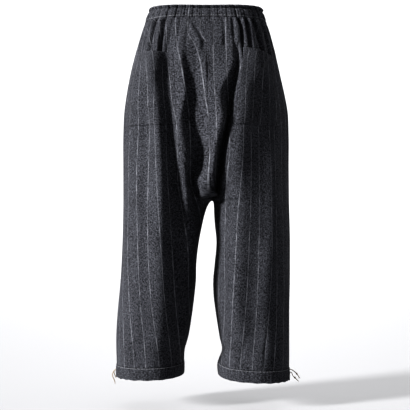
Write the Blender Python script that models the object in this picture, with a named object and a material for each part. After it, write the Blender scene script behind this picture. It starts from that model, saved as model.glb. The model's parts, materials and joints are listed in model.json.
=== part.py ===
"""Balloon trousers with a gathered waist, a dropped seat, patch hip pockets and drawcord hems.

Metres, +Z up. The origin is the middle of the waist's top edge. The back faces -Y, and left is -X,
as the back is seen. Four leg panels meet at the centre seam, the inseams and the side seams. Every
panel is read from one form, section(), so that neighbours share their seam, and each is a thin wall.
"""

import math

import bpy
import numpy as np

# Cloth and seams
CLOTH = 0.0018
DOUBLED = 0.0036
SEAM_GAP = 0.0003
WAIST_CASING = 0.042
HEM_CASING = 0.034

# The dropped seat: the height of the crotch, and how far above it the seat is whole again
CROTCH_Z = -0.530
SEAT_CLOSES_OVER = {"back": 0.22, "front": 0.30}
ROW_DROP = 1.6
FACING = {"back": -1, "front": 1}
SIDE_SIGN = {"left": -1, "right": 1}


def named(columns, *rows):
    """A table with named columns."""
    return np.array(list(rows), dtype=[(name, float) for name in columns.split()])


# Half of the outline: where the side seams are, and how deep the back and the front stand
OUTLINE = named(
    "z left right back front",
    (0.000, -0.151, 0.151, 0.115, 0.106),
    (-0.031, -0.164, 0.162, 0.121, 0.109),
    (-0.064, -0.176, 0.175, 0.131, 0.114),
    (-0.109, -0.190, 0.188, 0.143, 0.121),
    (-0.154, -0.203, 0.199, 0.152, 0.128),
    (-0.199, -0.213, 0.209, 0.159, 0.134),
    (-0.244, -0.221, 0.219, 0.164, 0.139),
    (-0.288, -0.227, 0.227, 0.167, 0.143),
    (-0.350, -0.230, 0.230, 0.169, 0.146),
    (-0.450, -0.230, 0.230, 0.167, 0.147),
    (-0.530, -0.230, 0.231, 0.163, 0.145),
    (-0.647, -0.232, 0.234, 0.153, 0.137),
    (-0.759, -0.238, 0.234, 0.141, 0.127),
    (-0.848, -0.246, 0.232, 0.129, 0.116),
    (-0.915, -0.250, 0.232, 0.119, 0.107),
    (-0.982, -0.249, 0.232, 0.109, 0.099),
    (-1.040, -0.248, 0.231, 0.102, 0.094),
)

CENTRE_SEAM = named(
    "z x",
    (0.000, 0.000),
    (-0.150, 0.002),
    (-0.300, 0.007),
    (-0.450, 0.013),
    (-0.530, 0.0155),
)

INSEAM = named(
    "z left right",
    (-0.530, 0.0155, 0.0155),
    (-0.546, 0.0050, 0.0225),
    (-0.580, -0.0060, 0.0240),
    (-0.602, -0.0110, 0.0255),
    (-0.647, -0.0200, 0.0300),
    (-0.715, -0.0280, 0.0250),
    (-0.759, -0.0290, 0.0210),
    (-0.800, -0.0330, 0.0220),
    (-0.848, -0.0390, 0.0280),
    (-0.915, -0.0500, 0.0385),
    (-0.958, -0.0610, 0.0450),
    (-0.978, -0.0620, 0.0370),
    (-1.040, -0.0620, 0.0360),
)

# The hems' lower edges, at the inseam and at the side seam
HEM = {"left": (-1.0155, -1.0265), "right": (-1.0165, -1.0360)}

# Lines down the panels that the cloth's grid follows: the valley beside the seat, and the pocket's
# two edges, which run on below it beside the leg's long folds
LINE = "z valley inner outer"
LINES = {
    ("back", "left"): named(
        LINE,
        (0.000, -0.028, -0.068, -0.130),
        (-0.130, -0.046, -0.087, -0.181),
        (-0.200, -0.050, -0.083, -0.196),
        (-0.330, -0.042, -0.080, -0.208),
        (-0.420, -0.036, -0.076, -0.210),
        (-0.530, -0.028, -0.074, -0.208),
        (-0.700, -0.050, -0.088, -0.208),
        (-1.040, -0.080, -0.112, -0.212),
    ),
    ("back", "right"): named(
        LINE,
        (0.000, 0.034, 0.076, 0.128),
        (-0.130, 0.040, 0.099, 0.175),
        (-0.220, 0.042, 0.088, 0.184),
        (-0.330, 0.045, 0.080, 0.192),
        (-0.530, 0.050, 0.080, 0.196),
        (-0.700, 0.050, 0.084, 0.196),
        (-1.040, 0.054, 0.090, 0.196),
    ),
    ("front", "left"): named(
        LINE,
        (0.000, -0.030, -0.065, -0.120),
        (-0.200, -0.042, -0.086, -0.180),
        (-0.380, -0.034, -0.088, -0.196),
        (-0.530, -0.028, -0.086, -0.198),
        (-1.040, -0.080, -0.116, -0.206),
    ),
    ("front", "right"): named(
        LINE,
        (0.000, 0.030, 0.065, 0.120),
        (-0.200, 0.050, 0.098, 0.180),
        (-0.380, 0.050, 0.104, 0.190),
        (-0.530, 0.050, 0.104, 0.196),
        (-1.040, 0.056, 0.098, 0.194),
    ),
}

# Long folds of the hanging cloth, from the top down: where each runs, half its width and how far
# it stands out, or in where the height is below zero
FOLD = "z x width height"
FOLDS = {
    "back": {
        "left ridge": named(
            FOLD,
            (-0.220, -0.150, 0.030, 0.000),
            (-0.320, -0.146, 0.030, 0.012),
            (-0.600, -0.132, 0.032, 0.014),
            (-0.900, -0.118, 0.034, 0.008),
            (-1.000, -0.115, 0.034, 0.000),
        ),
        "left valley": named(
            FOLD,
            (-0.180, -0.092, 0.024, 0.000),
            (-0.280, -0.094, 0.024, -0.007),
            (-0.370, -0.094, 0.025, -0.017),
            (-0.460, -0.092, 0.026, -0.022),
            (-0.640, -0.085, 0.026, -0.018),
            (-0.860, -0.072, 0.027, -0.009),
            (-0.990, -0.068, 0.027, 0.000),
        ),
        "left inner ridge": named(
            FOLD,
            (-0.300, -0.070, 0.020, 0.000),
            (-0.400, -0.066, 0.021, 0.012),
            (-0.500, -0.054, 0.021, 0.017),
            (-0.640, -0.040, 0.020, 0.010),
            (-0.740, -0.038, 0.020, 0.000),
        ),
        "left seat valley": named(
            FOLD,
            (-0.190, -0.054, 0.020, 0.000),
            (-0.300, -0.044, 0.023, -0.018),
            (-0.420, -0.036, 0.024, -0.034),
            (-0.530, -0.028, 0.024, -0.036),
            (-0.610, -0.028, 0.024, 0.000),
        ),
        "seat ridge": named(
            FOLD,
            (-0.140, 0.002, 0.022, 0.000),
            (-0.260, 0.005, 0.025, 0.011),
            (-0.420, 0.009, 0.026, 0.026),
            (-0.525, 0.014, 0.025, 0.040),
        ),
        "right seat valley": named(
            FOLD,
            (-0.190, 0.040, 0.018, 0.000),
            (-0.280, 0.044, 0.021, -0.018),
            (-0.420, 0.047, 0.022, -0.034),
            (-0.530, 0.051, 0.022, -0.034),
            (-0.610, 0.053, 0.022, 0.000),
        ),
        "right ridge": named(
            FOLD,
            (-0.100, 0.100, 0.018, 0.000),
            (-0.200, 0.090, 0.020, 0.010),
            (-0.290, 0.079, 0.022, 0.015),
            (-0.450, 0.067, 0.023, 0.017),
            (-0.540, 0.056, 0.022, 0.012),
            (-0.660, 0.046, 0.020, 0.000),
        ),
        "right trough": named(
            FOLD,
            (-0.250, 0.140, 0.014, 0.000),
            (-0.360, 0.138, 0.016, -0.007),
            (-0.600, 0.137, 0.017, -0.008),
            (-0.880, 0.134, 0.016, 0.000),
        ),
        "right outer trough": named(
            FOLD,
            (-0.210, 0.172, 0.016, 0.000),
            (-0.310, 0.170, 0.018, -0.011),
            (-0.550, 0.166, 0.020, -0.014),
            (-0.850, 0.169, 0.020, -0.010),
            (-0.985, 0.174, 0.020, 0.000),
        ),
    },
    "front": {
        "left ridge": named(
            FOLD,
            (-0.230, -0.148, 0.032, 0.000),
            (-0.360, -0.144, 0.034, 0.011),
            (-0.700, -0.130, 0.036, 0.011),
            (-0.990, -0.120, 0.036, 0.000),
        ),
        "left valley": named(
            FOLD,
            (-0.150, -0.086, 0.022, 0.000),
            (-0.330, -0.088, 0.024, -0.014),
            (-0.640, -0.084, 0.026, -0.013),
            (-0.950, -0.080, 0.026, 0.000),
        ),
        "left seat valley": named(
            FOLD,
            (-0.220, -0.040, 0.020, 0.000),
            (-0.380, -0.034, 0.022, -0.018),
            (-0.530, -0.026, 0.022, -0.024),
            (-0.610, -0.026, 0.022, 0.000),
        ),
        "seat ridge": named(
            FOLD,
            (-0.180, 0.002, 0.026, 0.000),
            (-0.400, 0.008, 0.028, 0.014),
            (-0.525, 0.014, 0.026, 0.026),
        ),
        "right seat valley": named(
            FOLD,
            (-0.200, 0.050, 0.020, 0.000),
            (-0.380, 0.050, 0.022, -0.018),
            (-0.530, 0.052, 0.020, -0.022),
            (-0.610, 0.052, 0.020, 0.000),
        ),
        "right valley": named(
            FOLD,
            (-0.170, 0.104, 0.022, 0.000),
            (-0.350, 0.106, 0.024, -0.013),
            (-0.650, 0.104, 0.026, -0.014),
            (-0.960, 0.100, 0.026, 0.000),
        ),
        "right ridge": named(
            FOLD,
            (-0.240, 0.162, 0.026, 0.000),
            (-0.380, 0.160, 0.028, 0.009),
            (-0.720, 0.158, 0.030, 0.010),
            (-0.980, 0.156, 0.030, 0.000),
        ),
    },
}

# Folds that run down from the gathered waist: the share of the way from centre seam to side seam,
# half the width, the depth and the height where each runs out
GATHER = "place width depth end"
GATHERS = {
    ("back", "left"): named(
        GATHER,
        (0.09, 0.007, 0.0025, -0.105),
        (0.20, 0.008, 0.0035, -0.120),
        (0.31, 0.008, 0.0060, -0.150),
        (0.40, 0.009, 0.0095, -0.166),
        (0.51, 0.009, 0.0100, -0.168),
        (0.62, 0.009, 0.0100, -0.166),
        (0.73, 0.008, 0.0080, -0.162),
        (0.84, 0.008, 0.0075, -0.160),
        (0.94, 0.006, 0.0060, -0.155),
    ),
    ("back", "right"): named(
        GATHER,
        (0.11, 0.007, 0.0030, -0.110),
        (0.23, 0.008, 0.0035, -0.115),
        (0.34, 0.008, 0.0075, -0.160),
        (0.42, 0.007, 0.0085, -0.164),
        (0.51, 0.009, 0.0100, -0.168),
        (0.60, 0.008, 0.0090, -0.168),
        (0.70, 0.009, 0.0100, -0.166),
        (0.81, 0.008, 0.0070, -0.160),
        (0.92, 0.007, 0.0060, -0.155),
    ),
    ("front", "left"): named(
        GATHER,
        (0.10, 0.009, 0.0040, -0.120),
        (0.24, 0.010, 0.0060, -0.140),
        (0.38, 0.010, 0.0070, -0.155),
        (0.53, 0.010, 0.0080, -0.160),
        (0.68, 0.010, 0.0080, -0.165),
        (0.83, 0.010, 0.0075, -0.160),
        (0.94, 0.007, 0.0050, -0.150),
    ),
    ("front", "right"): named(
        GATHER,
        (0.12, 0.009, 0.0045, -0.125),
        (0.26, 0.010, 0.0060, -0.140),
        (0.41, 0.010, 0.0075, -0.150),
        (0.55, 0.010, 0.0080, -0.165),
        (0.70, 0.010, 0.0080, -0.160),
        (0.82, 0.009, 0.0070, -0.160),
        (0.93, 0.007, 0.0055, -0.150),
    ),
}

# The gathers open over this height below the casing, and are deepest at this one
GATHERS_OPEN_OVER = 0.034
GATHERS_DEEPEST_Z = -0.085

# How fast a fold fades towards the seams, and how closely a row is sampled before it is divided
FOLD_FADE = 0.8
ROW_SWEEP = 1.5
ROW_SAMPLES = 400

# The cloth's grid: fine rows and columns under the waist, where the gathers are, and coarse below
FINE_ROWS = (-0.042, -0.058, -0.080, -0.105, -0.130, -0.168)
SEAT_ROWS = 11
LEG_ROWS = 10
COLUMNS = {"back": (3, 4, 8, 4), "front": (3, 3, 5, 3)}
POCKET_BOTTOM_ROW = 9

# Ruffle waves: the elastic gathers the waist, and the drawcord gathers each hem a little
WAIST_WAVES = 38
WAIST_WAVE = 0.0022
WAIST_WAVE_LEAST = 0.24
WAIST_WAVES_END = -0.078
WAIST_DRIFT = 0.005
WAIST_DRIFTS = 3
WAIST_COLUMNS = 38
WAIST_PROFILE = named(
    "z flare",
    (0.0, 0.0030),
    (-0.011, -0.0008),
    (-0.031, 0.0006),
    (-WAIST_CASING + SEAM_GAP / 2, 0.0),
)
WAIST_QUARTERS = (
    ("left", "back", 1),
    ("left", "front", -1),
    ("right", "front", 1),
    ("right", "back", -1),
)
HEM_WAVES = 15
HEM_WAVE = 0.0012
HEM_COLUMNS = 60

# Patch pockets: their mouths lean a little, and stand off the panel by this much more
MOUTH_LEAN = {"left": (-0.012, 0.006), "right": (0.010, -0.006)}
MOUTH_GAPE = 0.0026
MOUTH_GAPE_BY_ROW = (1.0, 0.55, 0.15)
POCKET_GAP = 0.0005

# Twine of the drawcords: hand-set routes from where each end leaves the hem casing
TWINE = 0.0025
ROUTE_STEPS = 20
CORD_ROUTES = {
    "cord_left_long": (
        (-0.2508, -0.002, -1.0095),
        (-0.2562, -0.004, -1.0118),
        (-0.2602, -0.006, -1.0180),
        (-0.2612, -0.007, -1.0250),
        (-0.2590, -0.007, -1.0320),
        (-0.2562, -0.006, -1.0380),
        (-0.2545, -0.005, -1.0440),
    ),
    "cord_left_short": (
        (-0.2506, 0.006, -1.0105),
        (-0.2560, 0.009, -1.0120),
        (-0.2588, 0.014, -1.0180),
        (-0.2578, 0.018, -1.0250),
        (-0.2555, 0.021, -1.0320),
    ),
    "cord_right_upper": (
        (0.2341, -0.002, -1.0080),
        (0.2400, -0.005, -1.0096),
        (0.2455, -0.008, -1.0130),
        (0.2520, -0.010, -1.0185),
    ),
    "cord_right_lower": (
        (0.2334, 0.004, -1.0165),
        (0.2390, 0.002, -1.0185),
        (0.2420, 0.000, -1.0230),
        (0.2436, -0.001, -1.0270),
    ),
}

# The right ends' knots, each with its frayed tail: where the tail's tip is, and how thick the
# knot is along its length
KNOT_TIPS = {"right_upper": (0.2595, -0.013, -1.0285), "right_lower": (0.2565, -0.004, -1.0394)}
KNOT_PROFILE = named(
    "along radius",
    (0.00, 0.0012),
    (0.08, 0.0024),
    (0.20, 0.0029),
    (0.32, 0.0024),
    (0.42, 0.0013),
    (0.75, 0.0013),
    (1.00, 0.0006),
)
KNOT_SIDES = 8


def read(table, column, z):
    """A column's value at height z, on a smooth curve through the table's rows."""
    down, values = -table["z"], table[column]
    slope = np.gradient(values, down)
    at = np.clip(-np.asarray(z, float), down[0], down[-1])
    i = np.clip(np.searchsorted(down, at) - 1, 0, len(down) - 2)
    step = down[i + 1] - down[i]
    t = (at - down[i]) / step
    start = (1 + 2 * t) * (1 - t) ** 2 * values[i] + t * (1 - t) ** 2 * step * slope[i]
    end = t * t * (3 - 2 * t) * values[i + 1] + t * t * (t - 1) * step * slope[i + 1]
    return start + end


def seam_x(side, z):
    """The panels' inner edge: the centre seam above the crotch and the inseam below it."""
    z = np.asarray(z, float)
    return np.where(z > CROTCH_Z, read(CENTRE_SEAM, "x", z), read(INSEAM, side, z))


def seat(face, z):
    """How far the two legs are one: 0 at the crotch and below it, 0.5 where the seat is whole."""
    rise = np.clip((z - CROTCH_Z) / SEAT_CLOSES_OVER[face], 0, 1)
    return 0.5 * np.sin(rise * math.pi / 2)


def section(side, face, turn, z):
    """The smooth form, before its folds. turn runs from the inner edge to pi at the side seam."""
    inner, outer = seam_x(side, z), read(OUTLINE, side, z)
    joined = seat(face, z)
    reach = (1 - np.cos(turn)) / 2
    across = np.sqrt(np.clip(reach**2 - joined**2, 0, None) / (1 - joined**2))
    x = inner + across * (outer - inner)
    y = FACING[face] * read(OUTLINE, face, z) * np.sin(turn)
    return np.stack([x, y, z], axis=-1)


def fold_depth(face, x, z):
    """How far the long folds stand out of the smooth form, seen from the back or the front."""
    total = np.zeros_like(x)
    for fold in FOLDS[face].values():
        aside = np.abs(x - read(fold, "x", z)) / read(fold, "width", z)
        total += read(fold, "height", z) * np.cos(np.clip(aside, 0, 1) * math.pi / 2) ** 2
    return total


def row(side, face, z_inner, z_outer, columns, lines=None):
    """One row of points from a panel's inner edge to the side seam, and how far along it each is.

    The steps are even, or even on each side of each of a panel's lines.
    """
    share = np.linspace(0, 1, ROW_SAMPLES)
    start = math.acos(1 - 2 * float(seat(face, z_inner)))
    turn = start + (math.pi - start) * share**ROW_SWEEP
    z = z_outer + (z_inner - z_outer) * (1 - share) ** ROW_DROP
    dense = section(side, face, turn, z)
    length = np.append(0, np.cumsum(np.linalg.norm(np.diff(dense, axis=0), axis=1)))
    walked = np.maximum.accumulate(np.abs(dense[:, 0] - dense[0, 0]))
    marks = [0]
    for line in ("valley", "inner", "outer") if lines is not None else ():
        aside = abs(float(read(lines, line, z_outer)) - dense[0, 0])
        marks.append(np.interp(aside, walked, length))
    marks.append(length[-1])
    steps = [np.linspace(a, b, n, endpoint=False) for a, b, n in zip(marks, marks[1:], columns)]
    at = np.append(np.concatenate(steps), length[-1])
    points = np.stack([np.interp(at, length, dense[:, k]) for k in range(3)], axis=-1)
    turns = np.interp(at, length, turn)
    depth = fold_depth(face, points[:, 0], points[:, 2]) * np.sin(turns) ** FOLD_FADE
    points[:, 1] += FACING[face] * depth
    return points, at


def row_heights(face):
    """Each row's height at the inner edge and at the side seam, from the waist to the crotch."""
    z = np.linspace(FINE_ROWS[-1], CROTCH_Z, ROW_SAMPLES)
    joined = seat(face, z)
    y = read(OUTLINE, face, z) * 2 * np.sqrt(joined * (1 - joined))
    length = np.append(0, np.cumsum(np.hypot(np.diff(y), np.diff(z))))
    at = np.linspace(0, length[-1], SEAT_ROWS + 1)[1:]
    return np.append(FINE_ROWS, np.interp(at, length, z)), at


def panel_rows(side, face):
    """The heights of all of a panel's rows, at its inner edge and at the side seam."""
    inner, _ = row_heights(face)
    _, down = row_heights("back")
    outer = np.append(FINE_ROWS, FINE_ROWS[-1] - down)
    hem_inner, hem_outer = (z + HEM_CASING + SEAM_GAP / 2 for z in HEM[side])
    inner = np.append(inner, np.linspace(CROTCH_Z, hem_inner, LEG_ROWS + 1)[1:])
    outer = np.append(outer, np.linspace(outer[-1], hem_outer, LEG_ROWS + 1)[1:])
    inner[0] = outer[0] = -WAIST_CASING - SEAM_GAP / 2
    return inner, outer


def waist_wave(around, z):
    """The casing's ruffles: deep at the sides and shallow at the middle of the back."""
    uneven = around + WAIST_DRIFT * np.sin(2 * math.pi * WAIST_DRIFTS * around)
    size = 1 - (1 - WAIST_WAVE_LEAST) * np.cos(2 * math.pi * around) ** 2
    fade = np.clip((z - WAIST_WAVES_END) / (-WAIST_CASING - WAIST_WAVES_END), 0, 1)
    return WAIST_WAVE * size * fade * np.cos(2 * math.pi * WAIST_WAVES * uneven)


def around_waist(side, face, place):
    """The share of the way round the waist, from the centre back past the left side."""
    quarter = place / 4 if face == "back" else 0.5 - place / 4
    return quarter if side == "left" else 1 - quarter


def gather_depth(side, face, place, span, z):
    """How deep the folds below the casing are. place is the share of the row, span its length."""
    total = np.zeros_like(place)
    opening = np.clip((-WAIST_CASING - z) / GATHERS_OPEN_OVER, 0, 1)
    for fold in GATHERS[face, side]:
        aside = np.abs(place - fold["place"]) * span / fold["width"]
        down = np.clip((z - fold["end"]) / (GATHERS_DEEPEST_Z - fold["end"]), 0, 1)
        shape = np.cos(np.clip(aside, 0, 1) * math.pi / 2) ** 2
        total += fold["depth"] * shape * opening * down * down * (3 - 2 * down)
    return total


def outward(points, face, side):
    """Level directions out of a row, square to it, and straight out at its two ends."""
    along = np.gradient(points[:, :2], axis=0)
    away = np.stack([along[:, 1], -along[:, 0]], axis=-1) * (1 if flipped(side, face) else -1)
    away /= np.linalg.norm(away, axis=1, keepdims=True)
    away[-1] = (SIDE_SIGN[side], 0)
    if points[0, 2] > CROTCH_Z:
        away[0] = (0, FACING[face])
    else:
        away[0] = (-SIDE_SIGN[side], 0)
    return np.append(away, np.zeros((len(away), 1)), axis=1)


def panel_points(side, face):
    """A panel's points with its gathers, and the same without them, for what is laid over it."""
    columns = [2 * n for n in COLUMNS[face]]
    smooth, gathered = [], []
    for z_inner, z_outer in zip(*panel_rows(side, face)):
        points, at = row(side, face, z_inner, z_outer, columns, LINES[face, side])
        place = at / at[-1]
        out = outward(points, face, side)
        ruffle = waist_wave(around_waist(side, face, place), points[:, 2])
        depth = gather_depth(side, face, place, at[-1], points[:, 2])
        smooth.append(points)
        gathered.append(points + out * (ruffle - depth)[:, None])
    return np.array(smooth), np.array(gathered)


def normals_of(points, flip, closed=False):
    """Directions square to a grid of points."""
    if closed:
        across = np.roll(points, -1, axis=1) - np.roll(points, 1, axis=1)
    else:
        across = np.gradient(points, axis=1)
    down = np.gradient(points, axis=0)
    normal = np.cross(across, down) * (-1 if flip else 1)
    return normal / np.linalg.norm(normal, axis=2, keepdims=True)


def level(normals):
    """Turns directions level, so that a wall's edge there is level too."""
    normals[..., 2] = 0
    normals /= np.linalg.norm(normals, axis=-1, keepdims=True)


def flipped(side, face):
    """Whether a panel's rows run clockwise round the leg as seen from outside."""
    return (side == "left") != (face == "back")


def share_normals(normals):
    """Gives the walls of neighbours the same direction along the seams that they share."""
    crotch = len(FINE_ROWS) + SEAT_ROWS - 1
    seams = []
    for face in FACING:
        seams.append(([(face, "left"), (face, "right")], slice(0, crotch), 0))
    for side in SIDE_SIGN:
        seams.append(([("back", side), ("front", side)], slice(None), -1))
        seams.append(([("back", side), ("front", side)], slice(crotch + 1, None), 0))
    seams.append(([(face, side) for face in FACING for side in SIDE_SIGN], slice(crotch, crotch + 1), 0))
    for panels, rows, column in seams:
        mean = sum(normals[panel][rows, column] for panel in panels)
        mean /= np.linalg.norm(mean, axis=-1, keepdims=True)
        for panel in panels:
            normals[panel][rows, column] = mean


def part_from_seams(points, side, face):
    """Moves a panel's edges half a seam gap away from its neighbours."""
    crotch = len(FINE_ROWS) + SEAT_ROWS - 1
    points[: crotch + 1, 0, 0] += SIDE_SIGN[side] * SEAM_GAP / 2
    points[crotch:, 0, 1] += FACING[face] * SEAM_GAP / 2
    points[:, -1, 1] += FACING[face] * SEAM_GAP / 2


def panel_faces(rows, columns, flip):
    """The grid's triangles, each of three (row, column) pairs, with every second column below."""
    last_fine = len(FINE_ROWS) - 1
    faces = []
    for i in range(rows - 1):
        step = 1 if i < last_fine else 2
        for j in range(0, columns - 1, step):
            if i == last_fine:
                faces.append(((i, j), (i, j + 1), (i + 1, j)))
                faces.append(((i, j + 1), (i + 1, j + 2), (i + 1, j)))
                faces.append(((i, j + 1), (i, j + 2), (i + 1, j + 2)))
            else:
                faces.append(((i, j), (i, j + step), (i + 1, j)))
                faces.append(((i, j + step), (i + 1, j + step), (i + 1, j)))
    return [face[::-1] for face in faces] if flip else faces


def ring_faces(rows, columns, flip):
    """The triangles of a band whose last column joins its first."""
    faces = []
    for i in range(rows - 1):
        for j in range(columns):
            k = (j + 1) % columns
            faces.append(((i, j), (i, k), (i + 1, j)))
            faces.append(((i, k), (i + 1, k), (i + 1, j)))
    return [face[::-1] for face in faces] if flip else faces


def material(name, color, roughness, metallic=0.0):
    """A plain finish."""
    finish = bpy.data.materials.new(name)
    finish.use_nodes = True
    shader = finish.node_tree.nodes["Principled BSDF"]
    shader.inputs["Base Color"].default_value = (*color, 1)
    shader.inputs["Roughness"].default_value = roughness
    shader.inputs["Metallic"].default_value = metallic
    return finish


def add_mesh(name, points, faces, finish):
    """A named object made from points and faces."""
    mesh = bpy.data.meshes.new(name)
    mesh.from_pydata([tuple(map(float, point)) for point in points], [], faces)
    mesh.update()
    mesh.shade_smooth()
    mesh.materials.append(finish)
    thing = bpy.data.objects.new(name, mesh)
    bpy.context.scene.collection.objects.link(thing)
    return thing


def wall(name, middle, normal, faces, thickness, finish):
    """One closed solid: the faces moved half the thickness out and in, and joined at every edge."""
    keys = sorted({key for face in faces for key in face})
    number = {key: n for n, key in enumerate(keys)}
    at = tuple(np.array(keys).T)
    outside = middle[at] + normal[at] * thickness / 2
    inside = middle[at] - normal[at] * thickness / 2
    outer = [tuple(number[key] for key in face) for face in faces]
    inner = [tuple(n + len(keys) for n in reversed(face)) for face in outer]
    edges = {(face[k - 1], face[k]) for face in outer for k in range(len(face))}
    open_edges = sorted(edge for edge in edges if edge[::-1] not in edges)
    rims = [(b, a, a + len(keys), b + len(keys)) for a, b in open_edges]
    return add_mesh(name, np.concatenate([outside, inside]), outer + inner + rims, finish)


def make_panels(finish):
    """The four leg panels, and the back panels' smooth points for the pockets."""
    smooth, gathered, normals = {}, {}, {}
    for face in FACING:
        for side in SIDE_SIGN:
            smooth[face, side], gathered[face, side] = panel_points(side, face)
            normals[face, side] = normals_of(gathered[face, side], flipped(side, face))
    share_normals(normals)
    for (face, side), points in gathered.items():
        rows, columns = points.shape[:2]
        for edge in (0, -1):
            level(normals[face, side][edge])
        part_from_seams(points, side, face)
        faces = panel_faces(rows, columns, flipped(side, face))
        wall(f"{face}_{side}", points, normals[face, side], faces, CLOTH, finish)
    return smooth, normals


def make_pocket(side, points, panel_normals, finish):
    """A patch laid on the back panel: the panel's own points, moved out. Its mouth spans the gathers."""
    rows, columns = points.shape[:2]
    flip = flipped(side, "back")
    first, last = 2 * sum(COLUMNS["back"][:2]), 2 * sum(COLUMNS["back"][:3])
    mouth = len(FINE_ROWS) - 2
    normal = panel_normals.copy()
    normal[mouth] = normals_of(points, flip)[mouth]
    gape = np.zeros((rows, columns))
    across = np.sin(math.pi * (np.arange(first, last + 1) - first) / (last - first))
    for i, amount in enumerate(MOUTH_GAPE_BY_ROW, mouth):
        gape[i, first : last + 1] = MOUTH_GAPE * amount * across
    laid = points + normal * (CLOTH + POCKET_GAP + gape)[..., None]
    lean = np.linspace(*MOUTH_LEAN[side], columns)[:, None] / (FINE_ROWS[-2] - FINE_ROWS[-1])
    laid[mouth] += lean * (laid[mouth] - laid[mouth + 1])
    window = [
        face
        for face in panel_faces(rows, columns, flip)
        if all(mouth <= i <= POCKET_BOTTOM_ROW and first <= j <= last for i, j in face)
    ]
    wall(f"pocket_{side}", laid, normal, window, CLOTH, finish)


def make_waistband(finish):
    """The elastic casing: a doubled ring with a small heading above the elastic."""
    rows = []
    for z, flare in WAIST_PROFILE:
        ring = []
        for side, face, order in WAIST_QUARTERS:
            points, at = row(side, face, z, z, (WAIST_COLUMNS,))
            around = around_waist(side, face, at / at[-1])
            out = outward(points, face, side)
            moved = points + out * (waist_wave(around, -WAIST_CASING) + flare)[:, None]
            ring.append(moved[::order][:-1])
        rows.append(np.concatenate(ring))
    points = np.array(rows)
    normal = normals_of(points, False, closed=True)
    level(normal)
    wall("waistband", points, normal, ring_faces(*points.shape[:2], False), DOUBLED, finish)


def make_hem(side, finish):
    """The hem casing: a doubled ring, a little ruffled along its lower edge."""
    rows = []
    for drop, size in ((HEM_CASING - SEAM_GAP / 2, 0.0), (0.0, 1.0)):
        z_inner, z_outer = (z + drop for z in HEM[side])
        ring = []
        for face, order in (("back", 1), ("front", -1)):
            points, at = row(side, face, z_inner, z_outer, (HEM_COLUMNS // 2,))
            out = outward(points, face, side)
            turn = at / at[-1] / 2 if face == "back" else 1 - at / at[-1] / 2
            ruffle = HEM_WAVE * size * np.cos(2 * math.pi * HEM_WAVES * turn)
            moved = points + out * (ruffle * np.sin(math.pi * turn) ** 2)[:, None]
            ring.append(moved[::order][:-1])
        rows.append(np.concatenate(ring))
    points = np.array(rows)
    flip = flipped(side, "back")
    normal = normals_of(points, flip, closed=True)
    level(normal)
    wall(f"hem_{side}", points, normal, ring_faces(*points.shape[:2], flip), DOUBLED, finish)


def smooth_route(route, count):
    """Points at even steps on a smooth curve through a route's own points."""
    ends = np.array([route[0], *route, route[-1]])
    curve = []
    for a, b, c, d in zip(ends, ends[1:], ends[2:], ends[3:]):
        for t in np.linspace(0, 1, ROUTE_STEPS, endpoint=False):
            bend = (2 * a - 5 * b + 4 * c - d) * t**2 + (3 * b - a - 3 * c + d) * t**3
            curve.append(b + ((c - a) * t + bend) / 2)
    curve = np.array([*curve, route[-1]])
    length = np.append(0, np.cumsum(np.linalg.norm(np.diff(curve, axis=0), axis=1)))
    at = np.linspace(0, length[-1], count)
    return np.stack([np.interp(at, length, curve[:, k]) for k in range(3)], axis=-1)


def make_cord(name, route, finish):
    """A free end of twine."""
    length = sum(math.dist(a, b) for a, b in zip(route, route[1:]))
    points = smooth_route(route, max(6, round(length / (2 * TWINE))))
    curve = bpy.data.curves.new(name, "CURVE")
    curve.dimensions = "3D"
    curve.bevel_depth = TWINE / 2
    curve.bevel_resolution = 2
    curve.use_fill_caps = True
    spline = curve.splines.new("POLY")
    spline.points.add(len(points) - 1)
    for place, point in zip(spline.points, points):
        place.co = (*map(float, point), 1)
    curve.materials.append(finish)
    thing = bpy.data.objects.new(name, curve)
    bpy.context.scene.collection.objects.link(thing)


def circle_round(axis):
    """Unit directions square to an axis, all the way round it."""
    aside = np.cross(axis, (0, 1, 0))
    aside /= np.linalg.norm(aside)
    up = np.cross(axis, aside) / np.linalg.norm(axis)
    turn = np.arange(KNOT_SIDES) * 2 * math.pi / KNOT_SIDES
    return np.cos(turn)[:, None] * aside + np.sin(turn)[:, None] * up


def make_knot(end, finish):
    """A small knot and its tail, on the line from the twine's last point to the tip."""
    start, before = (np.array(CORD_ROUTES[f"cord_{end}"][k]) for k in (-1, -2))
    heading = start - before
    start += heading / np.linalg.norm(heading) * SEAM_GAP
    along = np.array(KNOT_TIPS[end]) - start
    rings = [start + circle_round(heading) * KNOT_PROFILE["radius"][0]]
    for place, radius in KNOT_PROFILE[1:]:
        rings.append(start + along * place + circle_round(along) * radius)
    points = np.concatenate(rings)
    faces = [tuple(range(KNOT_SIDES))[::-1]]
    for i in range(len(KNOT_PROFILE) - 1):
        for j in range(KNOT_SIDES):
            a, b = i * KNOT_SIDES + j, i * KNOT_SIDES + (j + 1) % KNOT_SIDES
            faces.append((a, b, b + KNOT_SIDES, a + KNOT_SIDES))
    faces.append(tuple(range(len(points) - KNOT_SIDES, len(points))))
    add_mesh(f"knot_{end}", points, faces, finish)


def make_all():
    for thing in list(bpy.data.objects):
        bpy.data.objects.remove(thing, do_unlink=True)
    cloth = material("wool_cloth", (0.062, 0.064, 0.072), 0.92)
    pocket = material("pocket_cloth", (0.058, 0.060, 0.068), 0.92)
    casing = material("casing_cloth", (0.052, 0.053, 0.060), 0.92)
    twine = material("twine", (0.36, 0.31, 0.25), 0.85)
    smooth, normals = make_panels(cloth)
    make_waistband(casing)
    for side in SIDE_SIGN:
        make_pocket(side, smooth["back", side], normals["back", side], pocket)
        make_hem(side, casing)
    for name, route in CORD_ROUTES.items():
        make_cord(name, route, twine)
    for end in KNOT_TIPS:
        make_knot(end, twine)


make_all()
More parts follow.
